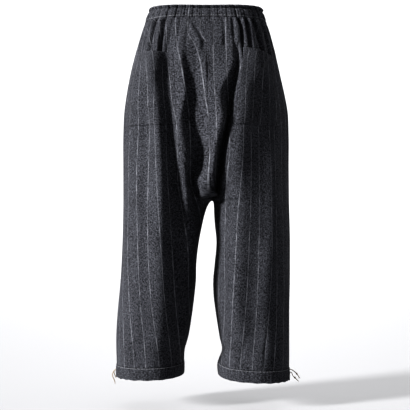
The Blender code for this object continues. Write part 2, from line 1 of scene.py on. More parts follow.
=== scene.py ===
# %% [markdown]
# # Balloon trousers, dressed
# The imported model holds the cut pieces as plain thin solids. Here each gets its finish: charcoal
# melange wool with a pale pinstripe, gathers under the elastic, creases, sewing and twine. +Z is
# up, the back faces -Y as in the photograph, and left is -X. Lengths are metres, and millimetres
# in the tables of points.

# %% Load the frame and keep its box
import json
import math

import bpy
import numpy as np
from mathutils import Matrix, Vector

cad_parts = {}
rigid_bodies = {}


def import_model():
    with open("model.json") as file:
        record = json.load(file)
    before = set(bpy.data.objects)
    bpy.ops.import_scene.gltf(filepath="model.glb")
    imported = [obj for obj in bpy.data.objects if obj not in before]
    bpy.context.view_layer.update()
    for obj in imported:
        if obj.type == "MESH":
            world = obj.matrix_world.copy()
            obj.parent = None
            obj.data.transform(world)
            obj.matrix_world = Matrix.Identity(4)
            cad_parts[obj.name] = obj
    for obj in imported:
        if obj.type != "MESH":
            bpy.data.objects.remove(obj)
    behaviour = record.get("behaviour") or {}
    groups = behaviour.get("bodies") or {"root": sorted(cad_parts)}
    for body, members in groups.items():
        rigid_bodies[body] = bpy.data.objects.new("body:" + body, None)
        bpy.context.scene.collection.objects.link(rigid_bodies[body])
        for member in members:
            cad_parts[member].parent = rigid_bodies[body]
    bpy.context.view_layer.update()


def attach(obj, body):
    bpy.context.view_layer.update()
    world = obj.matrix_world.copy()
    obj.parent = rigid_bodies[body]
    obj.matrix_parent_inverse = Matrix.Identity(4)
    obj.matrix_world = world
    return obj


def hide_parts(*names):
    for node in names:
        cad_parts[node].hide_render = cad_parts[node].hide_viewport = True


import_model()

# %% [markdown]
# ## Camera
# The photograph was taken from behind, level with the knees, with a long lens that flattens the
# form. A camera 3.1 m away with a 97 mm lens shows 2.8 mm of cloth to a pixel.

# %% Camera
EYE = (-0.0028, -3.1, -0.549)
LENS = 97.2
bpy.ops.object.camera_add(location=EYE, rotation=(math.pi / 2, 0, 0))
camera = bpy.context.object
camera.data.lens = LENS
bpy.context.scene.camera = camera
print("camera", camera.location[:], camera.data.lens)

# %% [markdown]
# ## Small helpers
# A table with named columns keeps every size readable. A curve through its rows gives the value
# at any height, so a short table makes a smooth outline. Points on a line are found by how far
# along it they are. Nothing may stay selected before an operator runs, because it would act on
# that too.


# %% Tables, curves and selection
def named(columns, *rows):
    """A table with named columns."""
    return np.array(list(rows), dtype=[(name, float) for name in columns.split()])


def in_mm(columns, *rows):
    """A table written in millimetres. A share in it is written in thousandths."""
    return named(columns, *(tuple(value / 1000 for value in row) for row in rows))


def read(table, column, z):
    """A column's value at height z, on a smooth curve through the table's rows."""
    down, values = -table["z"], table[column]
    slope = np.gradient(values, down)
    at = np.clip(-np.asarray(z, float), down[0], down[-1])
    i = np.clip(np.searchsorted(down, at) - 1, 0, len(down) - 2)
    step = down[i + 1] - down[i]
    t = (at - down[i]) / step
    start = (1 + 2 * t) * (1 - t) ** 2 * values[i] + t * (1 - t) ** 2 * step * slope[i]
    end = t * t * (3 - 2 * t) * values[i + 1] + t * t * (t - 1) * step * slope[i + 1]
    return start + end


def bump(aside):
    """A soft hump: 1 at its middle and 0 from 1 outwards."""
    return np.cos(np.clip(np.abs(aside), 0, 1) * math.pi / 2) ** 2


def unit(vectors):
    """The same directions with a length of 1."""
    return vectors / np.linalg.norm(vectors, axis=-1, keepdims=True)


def walk(line):
    """How far along a line each of its points is."""
    return np.append(0, np.cumsum(np.linalg.norm(np.diff(line, axis=0), axis=1)))


def points_at(at, far, line):
    """The points of a line at the distances at. far is how far its own points are."""
    return np.stack([np.interp(at, far, line[:, k]) for k in range(3)], axis=-1)


def select_only(thing=None):
    """Deselects everything, and then selects the one thing given."""
    for other in bpy.context.view_layer.objects:
        other.select_set(False)
    if thing is not None:
        thing.select_set(True)
        bpy.context.view_layer.objects.active = thing


def add_mesh(name, points, faces, finish):
    """A named object made from points and faces."""
    mesh = bpy.data.meshes.new(name)
    mesh.from_pydata(points.tolist(), [], faces)
    mesh.shade_smooth()
    mesh.materials.append(finish)
    thing = bpy.data.objects.new(name, mesh)
    bpy.context.scene.collection.objects.link(thing)
    return thing


select_only()
print("helpers ready")

# %% [markdown]
# ## Shader maths
# A small class wraps a shader socket, so that masks are written as sums. Every other node comes
# from one method: its settings are set first and its sockets are fed after that.


# %% Sockets that can be added and multiplied
class Value:
    """A socket of a material's nodes, with arithmetic."""

    def __init__(self, finish, socket):
        self.finish, self.socket = finish, socket

    def do(self, operation, *others):
        sockets = dict(enumerate((self, *others)))
        return self.finish.node("Math", {"operation": operation}, sockets)

    def other(self, name):
        return Value(self.finish, self.socket.node.outputs[name])

    def __add__(self, other):
        return self.do("ADD", other)

    def __sub__(self, other):
        return self.do("SUBTRACT", other)

    def __mul__(self, other):
        return self.do("MULTIPLY", other)

    def __truediv__(self, other):
        return self.do("DIVIDE", other)

    def __rsub__(self, other):
        return self.finish.node("Math", {"operation": "SUBTRACT"}, {0: other, 1: self})

    __radd__ = __add__
    __rmul__ = __mul__


class Finish:
    """A material and the nodes that it is made of."""

    def __init__(self, name, **constants):
        self.material = bpy.data.materials.new(name)
        self.material.use_nodes = True
        self.tree = self.material.node_tree
        self.shader = self.tree.nodes["Principled BSDF"]
        for socket, value in constants.items():
            self.shader.inputs[socket.replace("_", " ")].default_value = value

    def feed(self, socket, value):
        if isinstance(value, Value):
            self.tree.links.new(value.socket, socket)
        else:
            socket.default_value = value

    def node(self, kind, settings=None, sockets=None, output=0):
        """A node: its type, its settings, and its sockets' values or links."""
        node = self.tree.nodes.new("ShaderNode" + kind)
        for name, value in (settings or {}).items():
            setattr(node, name, value)
        for name, value in (sockets or {}).items():
            self.feed(node.inputs[name], value)
        return Value(self, node.outputs[output])

    def mix(self, factor, one, two):
        return self.node("Mix", {"data_type": "RGBA"}, {0: factor, 6: one, 7: two}, output=2)

    def noise(self, vector, across, down, detail=2.0):
        """Noise on the cloth, with its scale across and down."""
        stretched = self.node("Mapping", sockets={"Vector": vector, "Scale": (across, down, 1)})
        return self.node("TexNoise", sockets={"Vector": stretched, "Scale": 1.0, "Detail": detail})

    def step(self, value, low, high):
        """1 below low, 0 above high, and smooth between them."""
        settings = {"interpolation_type": "SMOOTHSTEP"}
        sockets = {0: value, 1: low, 2: high, 3: 1.0, 4: 0.0}
        return self.node("MapRange", settings, sockets)

    def color(self, value):
        self.feed(self.shader.inputs["Base Color"], value)

    def relief(self, height, strength, distance):
        sockets = {"Strength": strength, "Distance": distance, "Height": height}
        self.feed(self.shader.inputs["Normal"], self.node("Bump", sockets=sockets))


print("shader helpers ready")

# %% [markdown]
# ## The wool
# Real melange wool is spun from dark and light fibres, so the thread's colour wavers along its
# length. Two noises do that, one stretched along the warp and one along the weft. Others give the
# flecks, single fibres and a faint cloudiness. The pinstripe is a pale thread every 34.5 mm that
# the nap breaks up. All of it reads the piece's own UV map, which is laid out in metres, so that
# the stripes follow the cloth round every fold.

# %% Charcoal melange wool
PITCH = 0.0345
STRIPE_HALF = 0.0006
STRIPE_SOFT = 0.0010
WARP = 380
WEFT = 140
FLECK = 300
FIBRE = 1500
CLOUDS = (22, 14)
WEAR = (12, 40)
WORN = (0.30, 0.62)
TWILL = 0.0019
NAP = 0.0012
RELIEF = 0.0006
RELIEF_STRENGTH = 0.55
SHINE = 0.15
MOTTLE_MIDDLE = 2.52
STRIPE_PALE = (0.16, 0.60)
STRIPE_WEAR = (0.30, 0.70)
STRIPE_RAISED = 0.35
DARK_WOOL = (0.0075, 0.0077, 0.0090)
PALE_WOOL = (0.084, 0.0860, 0.0990)
STRIPE = (0.27, 0.275, 0.30, 1)


def make_wool(name, striped, painted_shade=1.0):
    """Melange wool, with its pinstripe where it is striped. A factor below 1 darkens it as painted
    shade.
    """
    wool = Finish(name, Roughness=0.94, Sheen_Weight=0.02, Sheen_Roughness=0.5)
    wool.shader.inputs["Specular IOR Level"].default_value = SHINE
    place = wool.node("UVMap", {"uv_map": "cloth"})
    across = wool.node("SeparateXYZ", sockets={0: place})
    down = across.other("Y")
    warp = wool.noise(place, WARP, WEFT)
    weft = wool.noise(place, WEFT, WARP)
    fleck = wool.noise(place, FLECK, FLECK, detail=1.0)
    fibre = wool.noise(place, FIBRE, FIBRE, detail=1.0)
    cloudy = wool.noise(place, *CLOUDS)
    mottled = warp * 1.4 + weft * 1.4 + fleck * 1.8 + fibre * 0.8 + cloudy * 0.4 - MOTTLE_MIDDLE
    dark, pale = ((*(painted_shade * c for c in colour), 1) for colour in (DARK_WOOL, PALE_WOOL))
    cloth = wool.mix(mottled, dark, pale)
    diagonal = ((across + down) * (math.tau / TWILL)).do("SINE")
    height = fibre * 0.6 + weft * 0.6 + warp * 0.6 + fleck * 0.6 + diagonal * 0.15
    if striped:
        middle = ((across / PITCH + 0.5).do("FRACT") - 0.5).do("ABSOLUTE") * PITCH
        ragged = middle + (weft - 0.5) * NAP
        stripe = wool.step(ragged, STRIPE_HALF, STRIPE_HALF + STRIPE_SOFT)
        worn = wool.step(wool.noise(place, *WEAR), *WORN)
        bright = STRIPE_PALE[0] + weft * STRIPE_PALE[1]
        kept = STRIPE_WEAR[0] + worn * STRIPE_WEAR[1]
        cloth = wool.mix(stripe * bright * kept, cloth, STRIPE)
        height = height + stripe * STRIPE_RAISED
    wool.color(cloth)
    wool.relief(height, RELIEF_STRENGTH, RELIEF)
    return wool.material


panel_wool = make_wool("pinstripe_wool", striped=True)
# The pocket and the waist casing take the same wool a little darker: painted shade, not a different
# cloth.
pocket_wool = make_wool("pocket_wool", striped=True, painted_shade=0.94)
waist_wool = make_wool("waist_wool", striped=True, painted_shade=0.95)
hem_wool = make_wool("hem_wool", striped=False)
print("wool:", panel_wool.name, pocket_wool.name, waist_wool.name, hem_wool.name)

# %% [markdown]
# ## Thread and twine
# The casings are sewn with a pale thread that shows as a light line, and the pockets with a dark
# one. The drawcord is beige twine. All are matt and fibrous, and too thin for more than a fine
# mottle.

# %% Thread and twine finishes
THREAD_MOTTLE = 900
TWINE_MOTTLE = 1400
THREAD_RELIEF = (0.4, 0.0002)


def make_thread(name, dark, pale, mottle):
    """A matt thread whose colour wavers between two shades."""
    thread = Finish(name, Roughness=0.85)
    place = thread.node("TexCoord", output="Object")
    fleck = thread.node("TexNoise", sockets={"Vector": place, "Scale": mottle, "Detail": 2.0})
    thread.color(thread.mix(fleck, (*dark, 1), (*pale, 1)))
    thread.relief(fleck, *THREAD_RELIEF)
    return thread.material


pale_thread = make_thread("pale_thread", (0.22, 0.225, 0.235), (0.34, 0.345, 0.36), THREAD_MOTTLE)
dark_thread = make_thread("dark_thread", (0.034, 0.034, 0.039), (0.07, 0.07, 0.078), THREAD_MOTTLE)
twine_finish = make_thread("beige_twine", (0.13, 0.10, 0.066), (0.42, 0.34, 0.25), TWINE_MOTTLE)
print("thread:", pale_thread.name, dark_thread.name, twine_finish.name)

# %% [markdown]
# ## The drawcord ends
# A twine drawcord runs through each hem casing and its two free ends hang out at the side. Twine is
# three strands twisted together, so a tube is swept along the route with a three-lobed section that
# turns as it goes. The right ends pass through a small knot, and every end is frayed: a tuft of
# tapered strands. The routes are the solids' own.

# %% Routes and the swept tube
TWINE = 0.0025
STRANDS = 3
LOBE = 0.16
TWIST_LENGTH = 0.0075
ROUTE_STEPS = 20
TUBE_ASIDE = (0.0, 1.0, 0.1)
CORD_ROUTES = {
    "cord_left_long": (
        (-0.2508, -0.002, -1.0095), (-0.2562, -0.004, -1.0118), (-0.2602, -0.006, -1.0180),
        (-0.2612, -0.007, -1.0250), (-0.2590, -0.007, -1.0320), (-0.2562, -0.006, -1.0380),
        (-0.2545, -0.005, -1.0440),
    ),
    "cord_left_short": (
        (-0.2506, 0.006, -1.0105), (-0.2560, 0.009, -1.0120), (-0.2588, 0.014, -1.0180),
        (-0.2578, 0.018, -1.0250), (-0.2555, 0.021, -1.0320),
    ),
    "cord_right_upper": (
        (0.2341, -0.002, -1.0080), (0.2400, -0.005, -1.0096), (0.2455, -0.008, -1.0130),
        (0.2520, -0.010, -1.0185), (0.2595, -0.013, -1.0285),
    ),
    "cord_right_lower": (
        (0.2334, 0.004, -1.0165), (0.2390, 0.002, -1.0185), (0.2420, 0.000, -1.0230),
        (0.2436, -0.001, -1.0270), (0.2565, -0.004, -1.0394),
    ),
}


def smooth_route(route, count):
    """Points at even steps on a smooth curve through a route's own points, and its length."""
    ends = np.array([route[0], *route, route[-1]])
    curve = []
    for a, b, c, d in zip(ends, ends[1:], ends[2:], ends[3:]):
        for t in np.linspace(0, 1, ROUTE_STEPS, endpoint=False):
            bend = (2 * a - 5 * b + 4 * c - d) * t**2 + (3 * b - a - 3 * c + d) * t**3
            curve.append(b + ((c - a) * t + bend) / 2)
    curve = np.array([*curve, route[-1]])
    far = walk(curve)
    return points_at(np.linspace(0, far[-1], count), far, curve), far[-1]


def sweep(name, path, sides, radius_at, finish):
    """A closed tube along a path. radius_at gives its radius by distance and by angle."""
    heading = unit(np.gradient(path, axis=0))
    aside = unit(np.cross(heading, TUBE_ASIDE))
    up = np.cross(heading, aside)
    turn = np.arange(sides) * math.tau / sides
    radius = radius_at(walk(path)[:, None], turn[None])
    radius = np.broadcast_to(radius, (len(path), sides))[..., None]
    ring = np.cos(turn)[None, :, None] * aside[:, None] + np.sin(turn)[None, :, None] * up[:, None]
    points = (path[:, None] + radius * ring).reshape(-1, 3)
    faces = [tuple(range(sides))[::-1]]
    for i in range(len(path) - 1):
        for j in range(sides):
            a, b = i * sides + j, i * sides + (j + 1) % sides
            faces.append((a, b, b + sides, a + sides))
    faces.append(tuple(range(len(points) - sides, len(points))))
    return add_mesh(name, points, faces, finish)


def lobed(far, turn):
    """Three strands twisted together."""
    return TWINE / 2 * (1 + LOBE * (np.cos(STRANDS * turn - far / TWIST_LENGTH * math.tau) - 0.6))


print("cord routes:", list(CORD_ROUTES))

# %% Twine, knots and frayed tips
CORD_POINTS = 36
TUBE_SIDES = 15
FRAY_STRANDS = 11
FRAY_POINTS = 6
FRAY_SIDES = 5
FRAY_LENGTH = 0.0055
FRAY_SHORTEST = 0.55
FRAY_RADIUS = 0.00026
FRAY_TAPER = 1.6
FRAY_SPREAD = 0.34
FRAY_DROOP = (0, 0, -0.25)
FRAY_ROOT = 0.001
FRAY_ROOT_SPREAD = 0.00035
KNOT_PLACE = 0.70
KNOT_RADIUS = 0.00082
KNOT_REACH = 0.0017
KNOT_LOOP = 1.6
KNOT_WIDEST = 2.2
KNOT_POINTS = 61
KNOT_SIDES = 10
KNOT_RIB = 0.1
KNOT_DEEP = 0.75
KNOT_TWIST = 0.0006
draw = np.random.default_rng(11)


def join(name, pieces):
    """Joins pieces into one."""
    select_only(pieces[0])
    for piece in pieces:
        piece.select_set(True)
    bpy.ops.object.join()
    pieces[0].name = name
    return pieces[0]


def fray(name, tip, heading):
    """A tuft of thin tapered strands that spread from a cord's tip."""
    hairs = []
    for k in range(FRAY_STRANDS):
        spread = draw.normal(0, FRAY_SPREAD, 3)
        far = np.linspace(0, 1, FRAY_POINTS)[:, None]
        reach = FRAY_LENGTH * draw.uniform(FRAY_SHORTEST, 1.0)
        start = tip - heading * FRAY_ROOT + draw.normal(0, FRAY_ROOT_SPREAD, 3)
        path = start + reach * (heading * far + spread * far**1.5 + FRAY_DROOP * far**2)
        thin = lambda far, turn: FRAY_RADIUS * (1.05 - far / (FRAY_TAPER * FRAY_LENGTH))
        hairs.append(sweep(f"{name}_{k}", path, FRAY_SIDES, thin, twine_finish))
    return join(name, hairs)


def tie_knot(name, centre, heading):
    """A pulled-tight overhand knot: a trefoil loop round the cord."""
    t = np.linspace(0, math.tau, KNOT_POINTS)
    aside = unit(np.cross(heading, (0, 1, 0)))
    up = np.cross(heading, aside)
    wide = (np.sin(t) + KNOT_LOOP * np.sin(2 * t)) / KNOT_WIDEST
    high = (np.cos(t) - KNOT_LOOP * np.cos(2 * t)) / KNOT_WIDEST
    along = -np.sin(3 * t)
    path = centre + KNOT_REACH * (wide[:, None] * aside + high[:, None] * up)
    path = path + KNOT_REACH * KNOT_DEEP * along[:, None] * heading
    ribbed = lambda far, turn: 1 + KNOT_RIB * np.cos(2 * turn - far / KNOT_TWIST)
    strand = lambda far, turn: KNOT_RADIUS * ribbed(far, turn)
    return sweep(name, path, KNOT_SIDES, strand, twine_finish)


for name, route in CORD_ROUTES.items():
    path, length = smooth_route(route, CORD_POINTS)
    cord = sweep(f"{name}_twine", path, TUBE_SIDES, lobed, twine_finish)
    extras = [fray(f"{name}_fray", path[-1], unit(path[-1] - path[-3]))]
    if "right" in name:
        at = round(KNOT_PLACE * (CORD_POINTS - 1))
        along = unit(path[at + 1] - path[at - 1])
        knot = tie_knot(name.replace("cord", "knot") + "_twine", path[at], along)
        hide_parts(name.replace("cord", "knot"))
        extras.append(knot)
    for piece in (cord, *extras):
        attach(piece, "root")
    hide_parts(name)
    print(name, "is", round(1000 * float(length), 1), "mm long")

# %% [markdown]
# ## The form
# The cloth is one form, read in four quarters. The outline gives the side seams and how deep the
# back and the front stand, and the dropped seat joins the two legs above the crotch. These sizes
# are the solids' own but for the top of the slit between the legs, so the dressed cloth lies where
# they are.

# %% Outline, seams and hems
WAIST_CASING = 0.042
HEM_CASING = 0.034
SEAM_GAP = 0.0003
CLOTH = 0.0018
DOUBLED = 0.0036
CROTCH_Z = -0.530
SEAT_CLOSES_OVER = {"back": 0.22, "front": 0.30}
ROW_DROP = 1.6
FACING = {"back": -1, "front": 1}
SIDE_SIGN = {"left": -1, "right": 1}
HEM = {"left": (-1.0155, -1.0265), "right": (-1.0165, -1.0360)}
OUTLINE = in_mm(
    "z left right back front", (0, -151, 151, 115, 106), (-31, -164, 162, 121, 109),
    (-64, -176, 175, 131, 114), (-109, -190, 188, 143, 121), (-154, -203, 199, 152, 128),
    (-199, -213, 209, 159, 134), (-244, -221, 219, 164, 139), (-288, -227, 227, 167, 143),
    (-350, -230, 230, 169, 146), (-450, -230, 230, 167, 147), (-530, -230, 231, 163, 145),
    (-647, -232, 234, 153, 137), (-759, -238, 234, 141, 127), (-848, -246, 232, 129, 116),
    (-915, -250, 232, 119, 107), (-982, -249, 232, 109, 99), (-1040, -248, 231, 102, 94),
)
CENTRE_SEAM = in_mm("z x", (0, 0), (-150, 2), (-300, 7), (-450, 13), (-530, 15.5))
INSEAM = in_mm(
    "z left right", (-530, 15.5, 15.5), (-534, 9.5, 21.5), (-546, 5, 22.5), (-580, -6, 24),
    (-602, -11, 25.5), (-647, -20, 30), (-715, -28, 25), (-759, -29, 21), (-800, -33, 22),
    (-848, -39, 28), (-915, -50, 38.5), (-958, -61, 45), (-978, -62, 37), (-1040, -62, 36),
)
print("outline:", len(OUTLINE), "heights, crotch at", CROTCH_Z)

# %% [markdown]
# ## The long folds
# Worn cloth hangs in a few long ridges and valleys. Each is a line from the top down: where it
# runs, and how far it stands out or in. Across the cloth, a soft wave leads from each line to the
# next one, so a wide fold and a narrow one take the same few numbers.

# %% Long folds of the back and the front
FOLD_POINTS = {
    "back": {
        "left outer ridge": ((-200, -195, 0), (-320, -188, 3), (-600, -186, 3), (-1000, -190, 0)),
        "left trough": (
            (-200, -172, 0), (-300, -163, -5), (-520, -162, -5), (-760, -166, -3), (-1000, -170, 0),
        ),
        "left ridge": (
            (-80, -150, 0), (-130, -153, 10), (-165, -151, 16), (-200, -149, 18), (-280, -139, 18),
            (-400, -125, 19), (-580, -120, 17), (-800, -119, 10), (-1000, -119, 3),
        ),
        "left valley": (
            (-80, -108, 0), (-130, -104, -16), (-165, -100, -26), (-200, -101, -26),
            (-280, -95, -21), (-400, -89, -22), (-480, -82, -24), (-580, -74, -23),
            (-720, -66, -13), (-1000, -64, -1),
        ),
        "left inner ridge": (
            (-100, -74, 0), (-165, -67, 3), (-205, -60, 5), (-245, -56, 5), (-320, -70, 5),
            (-400, -61, 4), (-480, -54, 5), (-540, -46, 13), (-600, -37, 14), (-680, -40, 6),
            (-760, -40, 0),
        ),
        "left seat valley": (
            (-120, -47, 0), (-165, -50, -9), (-205, -45, -14), (-245, -37, -18), (-320, -37, -23),
            (-360, -27, -30), (-405, -15, -34), (-450, -25, -34), (-482, -42, -28),
            (-525, -28, -26), (-620, -12, 0),
        ),
        "seat ridge": (
            (-120, 56, 0), (-160, 70, 8), (-205, 56, 14), (-245, 36, 21), (-320, 46, 27),
            (-400, 26, 28), (-440, 20, 36), (-482, 16, 52), (-528, 12, 62), (-620, 15, 0),
        ),
        "right seat valley": (
            (-100, 84, 0), (-160, 86, -10), (-205, 80, -15), (-245, 71, -22), (-320, 61, -30),
            (-400, 45, -34), (-480, 34, -32), (-528, 28, -26), (-560, 28, -6), (-620, 30, 10),
            (-760, 34, 16), (-1000, 40, 4),
        ),
        "right shoulder": (
            (-100, 98, 0), (-160, 96, 6), (-205, 92, 8), (-245, 83, 10), (-320, 73, 12),
            (-400, 59, 14), (-480, 49, 16), (-528, 45, 16), (-560, 42, 18), (-620, 44, 21),
            (-760, 46, 21), (-1000, 50, 5),
        ),
        "right ridge": (
            (-100, 134, 0), (-160, 138, 10), (-205, 124, 12), (-245, 108, 14), (-320, 93, 16),
            (-400, 83, 19), (-480, 69, 22), (-600, 62, 22), (-850, 62, 18), (-960, 60, 13),
            (-1000, 60, 4),
        ),
        "right trough": (
            (-200, 162, 0), (-280, 154, -2), (-400, 150, -7), (-580, 150, -9), (-650, 142, -10),
            (-720, 134, -8), (-800, 130, -6), (-960, 128, -6), (-1000, 126, -2),
        ),
        "right outer ridge": (
            (-200, 184, 0), (-320, 187, 1), (-580, 188, 1), (-650, 186, 1), (-720, 176, 0),
            (-880, 168, -1), (-1000, 168, 0),
        ),
        "right edge": (
            (-200, 206, 0), (-400, 210, -6), (-640, 210, -6), (-800, 210, -1), (-1000, 210, 0),
        ),
    },
    "front": {
        "left edge": ((-230, -186, 0), (-1000, -182, 0)),
        "left ridge": ((-230, -148, 0), (-360, -144, 11), (-700, -130, 11), (-1000, -120, 0)),
        "left valley": ((-150, -86, 0), (-330, -88, -14), (-640, -84, -13), (-1000, -80, 0)),
        "left inner ridge": ((-220, -62, 0), (-530, -52, 2), (-900, -52, 0)),
        "left seat valley": ((-220, -40, 0), (-380, -34, -18), (-530, -26, -24), (-610, -26, 0)),
        "seat ridge": ((-180, 2, 0), (-400, 8, 14), (-525, 14, 26), (-610, 15, 0)),
        "right seat valley": ((-200, 50, 0), (-380, 50, -18), (-530, 52, -22), (-610, 52, 0)),
        "right inner ridge": ((-200, 78, 0), (-530, 78, 2), (-900, 78, 0)),
        "right valley": ((-170, 104, 0), (-350, 106, -13), (-650, 104, -14), (-1000, 100, 0)),
        "right ridge": ((-240, 162, 0), (-380, 160, 9), (-720, 158, 10), (-1000, 156, 0)),
        "right edge": ((-240, 192, 0), (-1000, 188, 0)),
    },
}
FOLDS = {
    face: [in_mm("z x height", *points) for points in folds.values()]
    for face, folds in FOLD_POINTS.items()
}
print("long folds:", {face: len(folds) for face, folds in FOLDS.items()})

# %% [markdown]
# ## Gathers
# The elastic draws the wide panels in, so folds run down from the casing and fade by the pockets.
# They are deep at the sides and nearly flat at the middle of the back, as in the photograph.

# %% Gathers under the waist casing
GATHER = "place lean width depth end"
GATHERS = {
    ("back", "left"): in_mm(
        GATHER, (80, 20, 7, 2, -105), (180, 30, 9, 3, -135), (280, 10, 8, 2.5, -150),
        (370, 0, 8, 3, -150), (485, -55, 12, 18.5, -176), (602, -30, 10, 22, -172),
        (700, -10, 9, 7, -150), (810, 0, 9, 8, -160), (930, 0, 6, 5, -145),
    ),
    ("back", "right"): in_mm(
        GATHER, (90, -30, 8, 2.5, -120), (190, -20, 8, 3, -130), (290, -20, 9, 7, -140),
        (372, -20, 9, 18, -172), (455, -30, 10, 18, -168), (555, 20, 13, 20, -172),
        (690, 0, 11, 13, -160), (810, 0, 9, 8, -156), (920, 0, 7, 5, -150),
    ),
    ("front", "left"): in_mm(
        GATHER, (100, 20, 9, 4, -120), (240, 20, 10, 7, -145), (380, 10, 9, 10, -160),
        (500, 10, 10, 11, -165), (620, 0, 9, 9, -158), (730, 0, 10, 11, -168),
        (840, 0, 9, 8.5, -160), (940, 0, 7, 5, -150),
    ),
    ("front", "right"): in_mm(
        GATHER, (120, 20, 9, 4.5, -125), (260, 10, 10, 7.5, -150), (390, 10, 9, 9, -156),
        (510, 0, 10, 11.5, -168), (630, 10, 9, 9.5, -162), (750, 0, 10, 10, -166),
        (860, 0, 8, 7, -160), (950, 0, 6, 5, -150),
    ),
}
GATHER_LEAN_OVER = 0.12
GATHER_PUFF = 0.3
WAIST_WAVES = 38
WAIST_WAVE = 0.0038
WAIST_SWELLS = 11
WAIST_SWELL = 0.25
WAIST_PINCH = 5
WAIST_PUFF = 0.5
WAIST_NIP = 2.6
WAIST_WAVE_LEAST = 0.30
WAIST_WAVES_END = -0.078
WAIST_DRIFT = 0.005
WAIST_DRIFTS = 3
GATHERS_OPEN_OVER = 0.007
GATHERS_DEEPEST_Z = -0.120


def waist_wave(around, z):
    """The casing's ruffles: deep at the sides and shallow at the middle of the back."""
    uneven = around + WAIST_DRIFT * np.sin(math.tau * WAIST_DRIFTS * around)
    size = 1 - (1 - WAIST_WAVE_LEAST) * np.cos(math.tau * around) ** 2
    size *= 1 - WAIST_SWELL + WAIST_SWELL * np.sin(math.tau * WAIST_SWELLS * around + 1)
    fade = np.clip((z - WAIST_WAVES_END) / (-WAIST_CASING - WAIST_WAVES_END), 0, 1)
    pinch = ((1 - np.cos(math.tau * WAIST_WAVES * uneven)) / 2) ** WAIST_PINCH
    return WAIST_WAVE * size * fade * (WAIST_PUFF - WAIST_NIP * pinch)


def around_waist(side, face, place):
    """The share of the way round the waist, from the centre back past the left side."""
    quarter = place / 4 if face == "back" else 0.5 - place / 4
    return quarter if side == "left" else 1 - quarter


def gather_depth(side, face, place, span, z):
    """How deep the gathers are. place is the share of the row, span its length."""
    total = np.zeros_like(place)
    opening = np.clip((-WAIST_CASING - z) / GATHERS_OPEN_OVER, 0, 1)
    for fold in GATHERS[face, side]:
        at = fold["place"] + fold["lean"] * (-WAIST_CASING - z) / GATHER_LEAN_OVER
        aside = (place - at) * span / fold["width"]
        down = np.clip((z - fold["end"]) / (GATHERS_DEEPEST_Z - fold["end"]), 0, 1)
        shape = bump(aside) - GATHER_PUFF * bump(aside / 2)
        total += fold["depth"] * shape * opening * down * down * (3 - 2 * down)
    return total


print("gathers:", sum(len(rows) for rows in GATHERS.values()))
